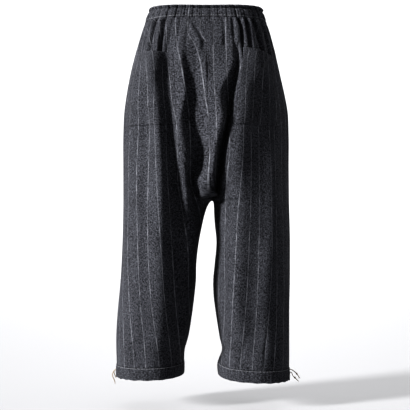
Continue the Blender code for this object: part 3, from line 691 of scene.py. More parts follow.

# %% [markdown]
# ## Creases
# Besides the long folds, worn wool has smaller creases: the V drawn from the waist to the seat,
# wrinkles beside the dropped crotch, and soft breaks down the legs. Each is a short line across
# the cloth, with half its width and its height at each point. Those of the sides are given across
# Y instead of X. The hidden front has a few of the same kind.

# %% Creases of the back, the front and the sides
CREASE_POINTS = {
    "back": (
        ((-50, -53, 10, 2), (-20, -108, 14, 5), (-18, -160, 16, 3)),
        ((-30, -66, 8, -2), (-7, -110, 11, -3), (-3, -150, 11, 0)),
        ((85, -60, 11, 3), (80, -110, 13, 5), (66, -150, 14, 0)),
        ((50, -80, 12, 0), (52, -112, 14, -3), (50, -150, 12, 0)),
        ((-6, -130, 20, 0), (-3, -175, 24, 8), (4, -235, 24, 6), (10, -300, 20, 0)),
        ((-52, -190, 8, 0), (-50, -220, 9, -4), (-48, -262, 8, 0)),
        ((-50, -284, 8, 0), (-42, -312, 9, -7), (-26, -340, 8, 0)),
        ((-30, -270, 12, 0), (-18, -330, 14, 4), (-4, -385, 12, 0)),
        ((-76, -384, 4, 0), (-60, -425, 4, -2.2), (-42, -480, 4, 0)),
        ((-70, -376, 4, 0), (-53, -416, 4, -2), (-37, -458, 4, 0)),
        ((-80, -402, 4, 0), (-66, -442, 4, -1.8), (-50, -490, 4, 0)),
        (
            (2, -455, 22, 0), (2, -486, 30, 16), (6, -508, 30, 32), (9, -520, 33, 50),
            (11, -526.2, 31, 34), (12, -530, 20, 0),
        ),
        ((-24, -448, 8, 0), (-24, -476, 12, 12), (-21, -496, 13, 14), (-8, -516, 10, 0)),
        ((30, -250, 9, 0), (40, -318, 10, 5), (18, -402, 10, 3)),
        ((40, -466, 10, 0), (44, -490, 12, 10), (36, -516, 10, 0)),
        ((-205, -300, 8, 0), (-203, -400, 10, -3), (-204, -500, 8, 0)),
        ((-206, -620, 8, 0), (-204, -740, 10, -3), (-210, -880, 8, 0)),
        ((112, -360, 10, 0), (108, -440, 12, -2), (110, -540, 10, 0)),
        ((166, -880, 8, 0), (160, -940, 8, -3), (158, -985, 7, -1)),
        ((184, -870, 8, 0), (182, -940, 8, -3), (184, -985, 7, -1)),
        ((112, -890, 10, 0), (98, -950, 10, -2), (92, -985, 8, -1)),
        ((-196, -900, 10, 0), (-190, -950, 10, -2), (-188, -980, 8, -1)),
    ),
    "front": (
        ((-46, -64, 10, 2), (-22, -140, 11, 3), (-10, -220, 12, 0)),
        ((60, -64, 10, 2), (34, -150, 12, 3), (20, -230, 12, 0)),
        ((12, -70, 9, -2), (4, -130, 10, -3), (-4, -180, 9, 0)),
        ((-66, -230, 10, 0), (-54, -300, 13, -5), (-40, -370, 11, 0)),
        ((82, -240, 10, 0), (70, -310, 13, -5), (58, -390, 11, 0)),
        ((108, -520, 14, 0), (100, -660, 16, 4), (98, -860, 14, 0)),
        ((-170, -380, 13, 0), (-166, -560, 15, -4), (-160, -760, 13, 0)),
        ((176, -350, 13, 0), (172, -560, 15, -4), (170, -800, 13, 0)),
        ((-110, -600, 13, 0), (-112, -760, 15, -3), (-118, -930, 12, 0)),
        ((130, -900, 10, 0), (126, -950, 10, -2), (128, -985, 8, -1)),
        ((-150, -900, 10, 0), (-146, -950, 10, -2), (-148, -980, 8, -1)),
    ),
    "left": (
        ((-50, -200, 14, 0), (-55, -360, 16, -4), (-48, -560, 14, 0)),
        ((30, -180, 14, 0), (34, -320, 16, -5), (24, -480, 14, 0)),
        ((-10, -520, 15, 0), (4, -700, 18, -5), (10, -900, 15, 0)),
        ((50, -640, 14, 0), (52, -800, 16, 4), (44, -950, 13, 0)),
        ((-56, -800, 13, 0), (-50, -900, 14, -3), (-50, -970, 12, 0)),
    ),
    "right": (
        ((-46, -220, 14, 0), (-50, -380, 16, -5), (-44, -540, 14, 0)),
        ((36, -200, 14, 0), (30, -360, 16, -4), (26, -520, 14, 0)),
        ((-4, -480, 15, 0), (-12, -660, 18, -6), (-6, -860, 15, 0)),
        ((46, -600, 14, 0), (50, -780, 16, -4), (42, -940, 13, 0)),
        ((-50, -780, 13, 0), (-46, -880, 15, 4), (-48, -970, 12, 0)),
    ),
}


def crease_lines(lines):
    """The tables of some creases."""
    return [in_mm("x z width height", *points) for points in lines]


def crease_height(creases, x, z):
    """How far the creases lift the cloth at each place, by its distance from their lines."""
    total = np.zeros_like(x)
    for line in creases:
        best, height = np.full_like(x, 9.0), np.zeros_like(x)
        for a, b in zip(line, line[1:]):
            run = np.array([b["x"] - a["x"], b["z"] - a["z"]])
            t = np.clip(((x - a["x"]) * run[0] + (z - a["z"]) * run[1]) / (run @ run), 0, 1)
            away = np.hypot(x - a["x"] - t * run[0], z - a["z"] - t * run[1])
            aside = away / (a["width"] + t * (b["width"] - a["width"]))
            nearer = aside < best
            best = np.where(nearer, aside, best)
            height = np.where(nearer, a["height"] + t * (b["height"] - a["height"]), height)
        total += height * bump(best)
    return total


CREASES = {place: crease_lines(lines) for place, lines in CREASE_POINTS.items()}
print("creases:", {place: len(lines) for place, lines in CREASES.items()})

# %% [markdown]
# ## Rows of cloth
# A panel is a stack of rows that run from its inner edge, the centre seam or the inseam, round the
# leg to the side seam. The solids have 27 rows; here each step is divided by twelve, fine enough
# for small creases, and the rows still fall on the solids' own.

# %% One row of a panel
FOLD_FADE = 0.8
ROW_SWEEP = 1.5
ROW_SAMPLES = 400


def seam_x(side, z):
    """The panels' inner edge: the centre seam above the crotch and the inseam below it."""
    z = np.asarray(z, float)
    return np.where(z > CROTCH_Z, read(CENTRE_SEAM, "x", z), read(INSEAM, side, z))


def seat(face, z):
    """How far the two legs are one: 0 from the crotch down, 0.5 where the seat is whole."""
    rise = np.clip((z - CROTCH_Z) / SEAT_CLOSES_OVER[face], 0, 1)
    return 0.5 * np.sin(rise * math.pi / 2)


def fold_depth(face, x, z):
    """How far the long folds stand out of the smooth form: a soft wave from line to line."""
    lines = FOLDS[face]
    total = read(lines[0], "height", z)
    for here, there in zip(lines, lines[1:]):
        start, end = read(here, "x", z), read(there, "x", z)
        share = np.clip((x - start) / (end - start), 0, 1)
        rise = read(there, "height", z) - read(here, "height", z)
        total = total + rise * (1 - np.cos(math.pi * share)) / 2
    return total


def row(side, face, z_inner, z_outer, marks):
    """A row of points, where each is along it, and the row before it was divided.

    marks gives the places that the steps are even between: (distance aside, number of steps).
    """
    share = np.linspace(0, 1, ROW_SAMPLES)
    start = math.acos(1 - 2 * float(seat(face, z_inner)))
    turn = start + (math.pi - start) * share**ROW_SWEEP
    z = z_outer + (z_inner - z_outer) * (1 - share) ** ROW_DROP
    inner, outer, joined = seam_x(side, z), read(OUTLINE, side, z), seat(face, z)
    reach = (1 - np.cos(turn)) / 2
    across = np.sqrt(np.clip(reach**2 - joined**2, 0, None) / (1 - joined**2))
    x = inner + across * (outer - inner)
    dense = np.stack([x, FACING[face] * read(OUTLINE, face, z) * np.sin(turn), z], axis=-1)
    length = walk(dense)
    walked = np.maximum.accumulate(np.abs(x - x[0]))
    stops = [0] + [np.interp(abs(line - x[0]), walked, length) for line, _ in marks[:-1]]
    stops.append(length[-1])
    steps = [np.linspace(a, b, n, endpoint=False) for a, b, (_, n) in zip(stops, stops[1:], marks)]
    at = np.append(np.concatenate(steps), length[-1])
    points = points_at(at, length, dense)
    turns = np.interp(at, length, turn)
    depth = fold_depth(face, points[:, 0], points[:, 2]) * np.sin(turns) ** FOLD_FADE
    points[:, 1] += FACING[face] * depth
    return points, at


def flipped(side, face):
    """Whether a panel's rows run clockwise round the leg as seen from outside."""
    return (side == "left") != (face == "back")


def outward(points, face, side):
    """Level directions out of a row, square to it, and straight out at its two ends."""
    along = np.gradient(points[:, :2], axis=0)
    away = unit(np.stack([along[:, 1], -along[:, 0]], axis=-1))
    away *= 1 if flipped(side, face) else -1
    away[-1] = (SIDE_SIGN[side], 0)
    away[0] = (0, FACING[face]) if points[0, 2] > CROTCH_Z else (-SIDE_SIGN[side], 0)
    return np.append(away, np.zeros((len(away), 1)), axis=1)


HIP_Z = -0.35
_, at = row("left", "back", HIP_Z, HIP_Z, [(None, 60)])
print("a hip row is", round(float(at[-1]), 3), "m from centre seam to side seam")

# %% [markdown]
# ## Where the rows and columns lie
# The columns follow the solids' own lines down each panel: the valley beside the seat and the two
# edges of the pocket. The pocket can then be cut from the panel's own grid, and lies on it exactly.

# %% The grid of each panel
FINER = 12
FINE_ROWS = (-0.042, -0.058, -0.080, -0.105, -0.130, -0.168)
SEAT_ROWS = 11
LEG_ROWS = 10
CROTCH_ROW = (len(FINE_ROWS) - 1 + SEAT_ROWS) * FINER
COLUMNS = {"back": (18, 24, 48, 24), "front": (21, 21, 35, 21)}
LINE = "z valley inner outer"
LINES = {
    ("back", "left"): in_mm(
        LINE, (0, -28, -68, -130), (-130, -46, -87, -181), (-200, -50, -83, -196),
        (-330, -42, -80, -208), (-420, -36, -76, -210), (-530, -28, -74, -208),
        (-700, -50, -88, -208), (-1040, -80, -112, -212),
    ),
    ("back", "right"): in_mm(
        LINE, (0, 34, 76, 128), (-130, 40, 99, 175), (-220, 42, 88, 184), (-330, 45, 80, 192),
        (-530, 50, 80, 196), (-700, 50, 84, 196), (-1040, 54, 90, 196),
    ),
    ("front", "left"): in_mm(
        LINE, (0, -30, -65, -120), (-200, -42, -86, -180), (-380, -34, -88, -196),
        (-530, -28, -86, -198), (-1040, -80, -116, -206),
    ),
    ("front", "right"): in_mm(
        LINE, (0, 30, 65, 120), (-200, 50, 98, 180), (-380, 50, 104, 190), (-530, 50, 104, 196),
        (-1040, 56, 98, 194),
    ),
}


def seat_heights(face):
    """The seat's rows, evenly spaced down its slope, and how far down the slope they are."""
    z = np.linspace(FINE_ROWS[-1], CROTCH_Z, ROW_SAMPLES)
    joined = seat(face, z)
    y = read(OUTLINE, face, z) * 2 * np.sqrt(joined * (1 - joined))
    length = np.append(0, np.cumsum(np.hypot(np.diff(y), np.diff(z))))
    at = np.linspace(0, length[-1], SEAT_ROWS * FINER + 1)[1:]
    return np.interp(at, length, z), at


def panel_rows(side, face):
    """The heights of a panel's rows, at its inner edge and at the side seam."""
    top = np.array(FINE_ROWS)
    top[0] -= SEAM_GAP / 2
    fine = np.interp(np.arange((len(top) - 1) * FINER + 1) / FINER, np.arange(len(top)), top)
    legs = LEG_ROWS * FINER + 1
    hem_inner, hem_outer = (z + HEM_CASING + SEAM_GAP / 2 for z in HEM[side])
    inner = np.append(fine, seat_heights(face)[0])
    outer = np.append(fine, FINE_ROWS[-1] - seat_heights("back")[1])
    inner = np.append(inner, np.linspace(CROTCH_Z, hem_inner, legs)[1:])
    outer = np.append(outer, np.linspace(outer[-1], hem_outer, legs)[1:])
    return inner, outer


def marks_at(side, face, z):
    """The lines that a row's columns are spread between."""
    lines = [float(read(LINES[face, side], line, z)) for line in ("valley", "inner", "outer")]
    return list(zip(lines + [None], COLUMNS[face]))


print("rows:", len(panel_rows("left", "back")[0]), "columns:", sum(COLUMNS["back"]) + 1)

# %% [markdown]
# ## Where the pinstripes run
# A stripe is straight on the cut cloth and bends only with it. On the back, each stripe that the
# photograph shows is a column of a table, named by its number (k_1 is stripe -1), so the pattern
# runs through the same places as on the real one. Between two stripes lie 34.5 mm of cloth,
# however narrow the folds make it look. The front's stripes follow its grain, and close up towards
# the gathered waist.

# %% Pinstripe guides
STRIPES = {
    "left": in_mm(
        "z k4 k3 k2 k1 k0 k_1 k_2 k_3",
        (-40, -48, -83, -106, -125, -140, -151, -160, -166),
        (-90, -48, -81, -106, -125, -140, -152, -162, -169),
        (-120, -30, -78, -105, -123, -141, -154, -166, -174),
        (-163, -16, -69, -103, -121, -141, -155, -172, -183),
        (-213, -8, -60, -96, -118, -139, -154, -178, -196),
        (-260, -2, -52, -92, -115, -138, -153, -181, -203),
        (-330, 9, -45, -78, -108, -137, -149, -181, -205),
        (-402, 12, -42, -76, -106, -134, -151, -184, -209),
        (-498, 7, -40, -74, -102, -130, -154, -186, -210),
        (-560, 20, -20, -64, -98, -126, -155, -185, -211),
        (-649, 24, -10, -52, -93, -121, -155, -183, -213),
        (-805, 30, -12, -48, -84, -111, -147, -177, -208),
        (-960, 40, 0, -36, -71, -96, -129, -164, -196),
        (-1020, 42, 4, -32, -67, -92, -126, -161, -193),
    ),
    "right": in_mm(
        "z k2 k3 k4 k5 k6 k7", (-40, 53, 86, 109, 127, 140, 150),
        (-90, 53, 88, 112, 130, 143, 154), (-225, 56, 94, 114, 134, 159, 174),
        (-301, 61, 98, 117, 138, 166, 180), (-402, 62, 98, 119, 140, 172, 184),
        (-498, 54, 91, 119, 141, 174, 186), (-597, 52, 83, 117, 142, 176, 188),
        (-649, 50, 81, 115, 141, 177, 189), (-805, 52, 72, 108, 137, 172, 191),
        (-960, 45, 66, 95, 127, 159, 186), (-1020, 42, 62, 90, 123, 154, 182),
    ),
}
FRONT_OFFSET = {"left": 0.008, "right": 0.015}
GRAIN_Z = -0.200


def along_guides(side, points, at):
    """A back row's place in the stripes: metres of cloth, a stripe at each whole pitch."""
    table = STRIPES[side]
    walked = np.maximum.accumulate(np.abs(points[:, 0] - points[0, 0]))
    places, numbers = [], []
    for column in table.dtype.names[1:]:
        numbers.append(int(column[1:].replace("_", "-")))
        target = (read(table, column, points[:, 2]) - points[0, 0]) * SIDE_SIGN[side]
        beyond = walked - target
        if beyond[0] > 0:
            places.append(-beyond[0])
        elif beyond[-1] < 0:
            places.append(at[-1] - beyond[-1])
        else:
            places.append(np.interp(0, np.maximum.accumulate(beyond), at))
    order = np.argsort(places)
    places = np.array(places)[order]
    stripes = np.array(numbers)[order] * PITCH
    way = 1 if stripes[-1] > stripes[0] else -1
    along = np.interp(at, places, stripes)
    along += way * (np.minimum(at - places[0], 0) + np.maximum(at - places[-1], 0))
    return along


print("stripes placed by hand:", {side: guides.dtype.names[1:] for side, guides in STRIPES.items()})

# %% [markdown]
# ## Cloth as a thin wall
# A sheet of wool is modelled by its middle surface. Every point is moved half the thickness out and
# half in, and the two faces are joined at the edges, so the piece is closed and has an inside as
# good as its outside. The UV map holds metres of cloth.


# %% From a grid of points to a cloth wall
def normals_of(points, flip, closed=False):
    """Directions square to a grid of points."""
    if closed:
        across = np.roll(points, -1, axis=1) - np.roll(points, 1, axis=1)
    else:
        across = np.gradient(points, axis=1)
    return unit(np.cross(across, np.gradient(points, axis=0))) * (-1 if flip else 1)


def level(normals):
    """Turns directions level, so that a wall's edge there is level too."""
    normals[..., 2] = 0
    normals[...] = unit(normals)


def cloth_wall(name, middle, normal, along, down, thickness, finish, flip, closed=False):
    """A closed cloth piece from a grid of middle points. along and down are its UV in metres."""
    rows, columns = middle.shape[:2]
    number = np.arange(rows * columns).reshape(rows, columns)
    right = np.roll(number, -1, axis=1) if closed else number[:, 1:]
    left = number if closed else number[:, :-1]
    quads = np.stack([left[:-1], right[:-1], right[1:], left[1:]], axis=-1).reshape(-1, 4)
    if not flip:
        quads = quads[:, ::-1]
    under = quads[:, ::-1] + number.size
    edges = [(left[0], right[0]), (right[-1], left[-1])]
    if not closed:
        edges += [(number[1:, 0], number[:-1, 0]), (number[:-1, -1], number[1:, -1])]
    rims = []
    for a, b in edges:
        rim = np.stack([a, b, b + number.size, a + number.size], axis=-1)
        rims.append(rim if not flip else rim[:, ::-1])
    faces = np.concatenate([quads, under, *rims])
    half = normal * np.broadcast_to(thickness, middle.shape[:2])[..., None] / 2
    points = np.concatenate([(middle + half).reshape(-1, 3), (middle - half).reshape(-1, 3)])
    piece = add_mesh(name, points, faces.tolist(), finish)
    layer = piece.data.uv_layers.new(name="cloth")
    corner = np.empty(len(piece.data.loops), dtype=np.int32)
    piece.data.loops.foreach_get("vertex_index", corner)
    spread = np.stack([along, down], axis=-1).reshape(-1, 2)[corner % number.size]
    layer.data.foreach_set("uv", spread.astype(np.float32).ravel())
    return piece


def run_down(points):
    """How far down the cloth each point of a grid is."""
    steps = np.linalg.norm(np.diff(points, axis=0), axis=2)
    return np.concatenate([np.zeros((1, points.shape[1])), np.cumsum(steps, axis=0)])


print("cloth walls ready")

# %% [markdown]
# ## The four panels
# Each panel is computed row by row: the smooth form with its long folds, then the gathers, then the
# creases. A faint seeded unevenness keeps the wool from looking ironed. Neighbours share the
# direction of their walls along every seam and stay 0.3 mm apart, as the solids do.

# %% Points of the panels
UNEVEN = 0.0009
UNEVEN_WAVES = 14
WAVES_FROM = (8, 4, 0, 0)
WAVES_TO = (34, 20, 6.28, 1)
rng = np.random.default_rng(7)
waves = rng.uniform(WAVES_FROM, WAVES_TO, (UNEVEN_WAVES, 4))


def unevenness(place, z):
    """Small soft waves in the cloth, the same on every run."""
    total = np.zeros_like(z)
    for across, down, phase, tilt in waves:
        total += np.sin(across * place + down * z * (1 + tilt) + phase)
    return UNEVEN * total / math.sqrt(UNEVEN_WAVES)


def panel_points(side, face):
    """A panel's smooth points, its gathered points, and its place in the stripes."""
    smooth, gathered, along, spans, shares = [], [], [], [], []
    for z_inner, z_outer in zip(*panel_rows(side, face)):
        points, at = row(side, face, z_inner, z_outer, marks_at(side, face, z_outer))
        place = at / at[-1]
        x, y, z = points.T
        out = outward(points, face, side)
        facing = np.abs(out[:, 1])
        beside = np.clip(out[:, 0] * SIDE_SIGN[side], 0, 1)
        crease = crease_height(CREASES[face], x, z) * facing
        crease += crease_height(CREASES[side], y, z) * beside
        crease += unevenness(place, z) * np.sin(math.pi * place)
        points = points + out * crease[:, None]
        ruffle = waist_wave(around_waist(side, face, place), z)
        depth = gather_depth(side, face, place, at[-1], z)
        smooth.append(points)
        gathered.append(points + out * (ruffle - depth)[:, None])
        spans.append(at[-1])
        shares.append(place)
        if face == "back":
            along.append(along_guides(side, points, at))
    if face == "front":
        heights = -panel_rows(side, face)[0]
        spans = np.where(heights < -GRAIN_Z, np.interp(-GRAIN_Z, heights, spans), spans)
        along = (1 - np.array(shares)) * spans[:, None] + FRONT_OFFSET[side]
    return np.array(smooth), np.array(gathered), np.array(along), np.array(shares)


smooth, middle, stripe_place, share_along, normal = {}, {}, {}, {}, {}
for face in FACING:
    for side in SIDE_SIGN:
        key = (face, side)
        smooth[key], middle[key], stripe_place[key], share_along[key] = panel_points(side, face)
        normal[key] = normals_of(middle[key], flipped(side, face))
print("panel grids:", {key: grid.shape[:2] for key, grid in middle.items()})


def share_seam(panels, rows, column):
    """Gives neighbours the same wall direction along a seam."""
    mean = unit(sum(normal[panel][rows, column] for panel in panels))
    for panel in panels:
        normal[panel][rows, column] = mean


for face in FACING:
    share_seam([(face, "left"), (face, "right")], slice(0, CROTCH_ROW), 0)
for side in SIDE_SIGN:
    share_seam([("back", side), ("front", side)], slice(None), -1)
    share_seam([("back", side), ("front", side)], slice(CROTCH_ROW + 1, None), 0)
share_seam(list(middle), slice(CROTCH_ROW, CROTCH_ROW + 1), 0)

for (face, side), points in middle.items():
    down = run_down(points)
    for edge in (0, -1):
        level(normal[face, side][edge])
    points[: CROTCH_ROW + 1, 0, 0] += SIDE_SIGN[side] * SEAM_GAP / 2
    points[CROTCH_ROW:, 0, 1] += FACING[face] * SEAM_GAP / 2
    points[:, -1, 1] += FACING[face] * SEAM_GAP / 2
    name = f"{face}_{side}_wool"
    grid = (points, normal[face, side], stripe_place[face, side], down)
    piece = cloth_wall(name, *grid, CLOTH, panel_wool, flipped(side, face))
    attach(piece, "root")
    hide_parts(f"{face}_{side}")
    print(name, "has", len(piece.data.polygons), "faces")

# %% [markdown]
# ## The patch pockets
# A patch pocket is laid on the panel before the waist is gathered, so it takes the panel's shape.
# It is cut here from the panel's own grid and moved out by a cloth's thickness. Its mouth spans the
# gathers and gapes a little, and a few creases sag across it as if hands had stretched it.

# %% Pockets
POCKET_TOP_ROW = 4
POCKET_BOTTOM_ROW = 9
POCKET_GAP = 0.0002
POCKET_EDGE_THICK = 0.0005
EDGE_ROUND = 5
BOTTOM_ROUND = 12
POCKET_TILT = {"left": 0.0, "right": 0.15}
MOUTH_LEAN = {"left": (-0.009, -0.008), "right": (0.003, -0.016)}
MOUTH_GAPE = {"left": 0.0075, "right": 0.0065}
GAPE_ROWS = 2.4
GAPE_DOWN = 1.4
GAPE_ACROSS = 0.8
SAG_FADE = 8
SAGS = {
    "left": crease_lines((
        ((-163, -218, 9, 0), (-142, -216, 11, 3), (-122, -240, 9, 0)),
        ((-172, -170, 10, 0), (-140, -192, 12, 3), (-112, -182, 10, 0)),
        ((-180, -270, 10, 0), (-150, -284, 12, 2), (-120, -272, 10, 0)),
    )),
    "right": crease_lines((
        ((170, -128, 8, 1), (158, -152, 10, 4), (129, -223, 10, 1)),
        ((120, -240, 10, 0), (142, -262, 12, 3), (166, -252, 10, 0)),
    )),
}
pocket_grid = {}
first, last = sum(COLUMNS["back"][:2]), sum(COLUMNS["back"][:3])
mouth, bottom = POCKET_TOP_ROW * FINER, POCKET_BOTTOM_ROW * FINER
window = (slice(mouth, bottom + 1), slice(first, last + 1))
columns, rows = np.arange(last - first + 1), np.arange(bottom - mouth + 1)
place = np.linspace(0, 1, len(columns))
beside = np.minimum(columns, columns[::-1])[None]
above = rows[::-1, None]
inside = np.clip(np.minimum(beside / EDGE_ROUND, above / BOTTOM_ROUND), 0, 1)
pocket_thickness = POCKET_EDGE_THICK + (CLOTH - POCKET_EDGE_THICK) * np.sqrt(inside * (2 - inside))
blend = np.clip(rows / FINER, 0, 1)[:, None, None]
fall = np.clip(1 - rows / (GAPE_ROWS * FINER), 0, 1) ** GAPE_DOWN
edge_fade = np.clip(np.minimum(place, 1 - place) * SAG_FADE, 0, 1)[None]
for side in SIDE_SIGN:
    grid, flip = smooth["back", side], flipped(side, "back")
    smooth_out = normals_of(grid, flip)[window]
    out = unit(smooth_out * (1 - blend) + normal["back", side][window] * blend)
    gape = MOUTH_GAPE[side] * fall[:, None] * np.sin(math.pi * place)[None] ** GAPE_ACROSS
    sag = crease_height(SAGS[side], grid[window][..., 0], grid[window][..., 2])
    offset = (CLOTH + pocket_thickness) / 2 + POCKET_GAP + gape + sag * edge_fade
    laid = grid[window] + out * offset[..., None]
    lean = np.linspace(*MOUTH_LEAN[side], len(columns))[:, None]
    reach = (laid[0] - laid[FINER]) * lean / (FINE_ROWS[-2] - FINE_ROWS[-1])
    for i in range(FINER):
        laid[i] += reach * (1 - i / FINER)
    name = f"pocket_{side}_wool"
    down = run_down(laid)
    uv = (stripe_place["back", side][window] + POCKET_TILT[side] * down, down)
    piece = cloth_wall(name, laid, out, *uv, pocket_thickness, pocket_wool, flip)
    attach(piece, "root")
    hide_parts(f"pocket_{side}")
    pocket_grid[side] = (laid, out)
print("pockets:", {side: grid.shape[:2] for side, (grid, _) in pocket_grid.items()})

# %% [markdown]
# ## The waist casing
# The top of the trousers is folded over an elastic and sewn, which leaves a small ruffled heading
# above the elastic and a nip where the sewing pulls it in. It is a ring of doubled cloth whose
# ruffles run on into the gathers below. The stripes run on from the panels too.

# %% Waistband
WAIST_COLUMNS = 150
WAIST_ROWS = 25
WAIST_PUCKER = 0.0007
WAIST_PUCKERS = (131, 5, 31)
WAIST_SPREAD = 0.0034
WAIST_RUFFLE = 0.9
WAIST_HEADING = 0.014
WAIST_SCALLOP = 0.0018
WAIST_DIP = 0.0085
WAIST_DIP_POWER = 1.5
WAIST_LOWER_Z = -WAIST_CASING + SEAM_GAP / 2
WAIST_PROFILE = named(
    "z flare", (0.0, 0.0016), (-0.0035, 0.0038), (-0.0070, 0.0014), (-0.0105, -0.0024),
    (-0.0130, 0.0), (-0.0230, 0.0018), (-0.0345, 0.0004), (-0.0370, -0.0006), (WAIST_LOWER_Z, 0.0),
)
WAIST_QUARTERS = (
    ("left", "back", 1), ("left", "front", -1), ("right", "front", 1), ("right", "back", -1),
)


def uneven_wave(around, count, drift, drifts):
    """Small puckers round a ring, never quite evenly spaced."""
    return np.sin(math.tau * count * around + drift * np.sin(drifts * around))


rows, stripes_at = [], []
for z in np.linspace(0, WAIST_LOWER_Z, WAIST_ROWS):
    ring, across = [], []
    for side, face, order in WAIST_QUARTERS:
        points, at = row(side, face, z, z, [(None, WAIST_COLUMNS)])
        share = at / at[-1]
        around = around_waist(side, face, share)
        flare = float(read(WAIST_PROFILE, "flare", z))
        heading = max(0, 1 + z / WAIST_HEADING)
        pucker = WAIST_PUCKER * uneven_wave(around, *WAIST_PUCKERS)
        wave = waist_wave(around, -WAIST_CASING)
        out = wave * (1 + WAIST_RUFFLE * heading) + flare + pucker
        moved = points + outward(points, face, side) * out[:, None]
        dip = WAIST_DIP * np.clip(np.cos(math.tau * around), 0, 1) ** WAIST_DIP_POWER
        scallop = WAIST_SCALLOP * (1 + wave / WAIST_WAVE) / 2
        moved[:, 2] -= (dip + scallop) * (1 + z / WAIST_CASING)
        ring.append(moved[::order][:-1])
        top = (share_along[face, side][0], stripe_place[face, side][0])
        across.append(np.interp(share, *top)[::order][:-1])
    rows.append(np.concatenate(ring))
    stripes_at.append(np.concatenate(across))
waist_points = np.array(rows)
waist_normal = normals_of(waist_points, False, closed=True)
level(waist_normal)
grid = (waist_points, waist_normal, np.array(stripes_at), run_down(waist_points) - WAIST_CASING)
waistband = cloth_wall("waist_casing_wool", *grid, WAIST_SPREAD, waist_wool, False, closed=True)
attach(waistband, "root")
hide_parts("waistband")
print("waist casing:", waist_points.shape[:2])

# %% [markdown]
# ## The hem casings
# Each leg ends in a casing for its drawcord: a plain band without stripes, puckered where the cord
# gathers it, and rounded because the cord inside fills it.

# %% Hem casings
HEM_WAVES = 15
HEM_WAVE = 0.0018
HEM_PUCKER = 0.0006
HEM_PUCKERS = (57, 3, 19)
HEM_COLUMNS = 150
HEM_ROWS = 19
HEM_BULGE = 0.0008
HEM_RIPPLE = 0.0011
HEM_RIPPLES = (23, 4, 13)
HEM_CUT = {"left": (0.69, 0.034), "right": (0.70, 0.034)}
hem_rings = {}
for side in SIDE_SIGN:
    rows, wound = [], []
    for down in np.linspace(0, 1, HEM_ROWS):
        drop = (HEM_CASING - SEAM_GAP / 2) * (1 - down)
        z_inner, z_outer = (z + drop for z in HEM[side])
        ring, wrapped = [], []
        for face, order in (("back", 1), ("front", -1)):
            points, at = row(side, face, z_inner, z_outer, [(None, HEM_COLUMNS)])
            place = at / at[-1]
            turn = place / 2 if face == "back" else 1 - place / 2
            fade = np.sin(math.pi * turn) ** 2
            ruffle = HEM_WAVE * down * np.cos(math.tau * HEM_WAVES * turn) * fade
            ruffle += HEM_PUCKER * uneven_wave(turn, *HEM_PUCKERS) * fade
            ruffle += HEM_BULGE * math.sin(math.pi * down)
            moved = points + outward(points, face, side) * ruffle[:, None]
            moved[:, 2] += HEM_RIPPLE * down * uneven_wave(turn, *HEM_RIPPLES) * fade
            ring.append(moved[::order][:-1])
            wrapped.append((turn * HEM_CUT[side][0])[::order][:-1])
        rows.append(np.concatenate(ring))
        wound.append(np.concatenate(wrapped))
    points, flip = np.array(rows), flipped(side, "back")
    out = normals_of(points, flip, closed=True)
    level(out)
    name = f"hem_{side}_wool"
    uv = (np.array(wound), run_down(points))
    piece = cloth_wall(name, points, out, *uv, DOUBLED, hem_wool, flip, closed=True)
    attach(piece, "root")
    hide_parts(f"hem_{side}")
    hem_rings[side] = (points, out)
print("hems:", {side: ring.shape[:2] for side, (ring, _) in hem_rings.items()})

# %% [markdown]
# ## Sewing
# Each seam line is a row of lockstitches: short rounded threads with small gaps. One stitch is
# modelled and copied along a line of the cloth's outer face. The casings are sewn in the pale
# thread that the photograph shows, the pockets in the dark one.

# %% One stitch
STITCH_LENGTH = 0.0034
STITCH_WIDTH = 0.00085
STITCH_HEIGHT = 0.0006
STITCH_STEP = 0.0044
STITCH_LIFT = 0.25
select_only()
bpy.ops.mesh.primitive_uv_sphere_add(segments=8, ring_count=6, radius=0.5)
one = bpy.context.object
bpy.ops.object.mode_set(mode="EDIT")
bpy.ops.mesh.select_all(action="SELECT")
bpy.ops.transform.rotate(value=math.pi / 2, orient_axis="Y", center_override=(0, 0, 0))
bpy.ops.transform.resize(value=(STITCH_LENGTH, STITCH_WIDTH, STITCH_HEIGHT))
bpy.ops.object.mode_set(mode="OBJECT")
stitch_points = np.array([point.co[:] for point in one.data.vertices])
stitch_faces = [tuple(face.vertices) for face in one.data.polygons]
bpy.data.objects.remove(one)
print("a stitch has", len(stitch_faces), "faces")

# %% Lines of stitches


def sew(name, lines, thread):
    """Copies the stitch along lines on the cloth: each a list of points and of directions out."""
    points, faces = [], []
    for line, out in lines:
        far = walk(line)
        for at in np.arange(STITCH_STEP / 2, far[-1], STITCH_STEP):
            a = points_at(max(at - STITCH_LENGTH / 2, 0), far, line)
            b = points_at(min(at + STITCH_LENGTH / 2, far[-1]), far, line)
            lift = points_at(at, far, out)
            along = unit(b - a)
            lift = unit(lift - along * (lift @ along))
            turned = stitch_points @ np.array([along, np.cross(lift, along), lift])
            start = len(points) * len(stitch_points)
            faces += [tuple(start + k for k in face) for face in stitch_faces]
            points.append(turned + (a + b) / 2 + lift * STITCH_HEIGHT * STITCH_LIFT)
    piece = add_mesh(name, np.concatenate(points), faces, thread)
    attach(piece, "root")
    print(name, "has", len(points), "stitches")


def face_line(points, out, thickness, closed=False):
    """A line on a cloth's outer face, from its middle line."""
    line = points + out * thickness / 2
    if closed:
        line, out = np.append(line, line[:1], axis=0), np.append(out, out[:1], axis=0)
    return line, out


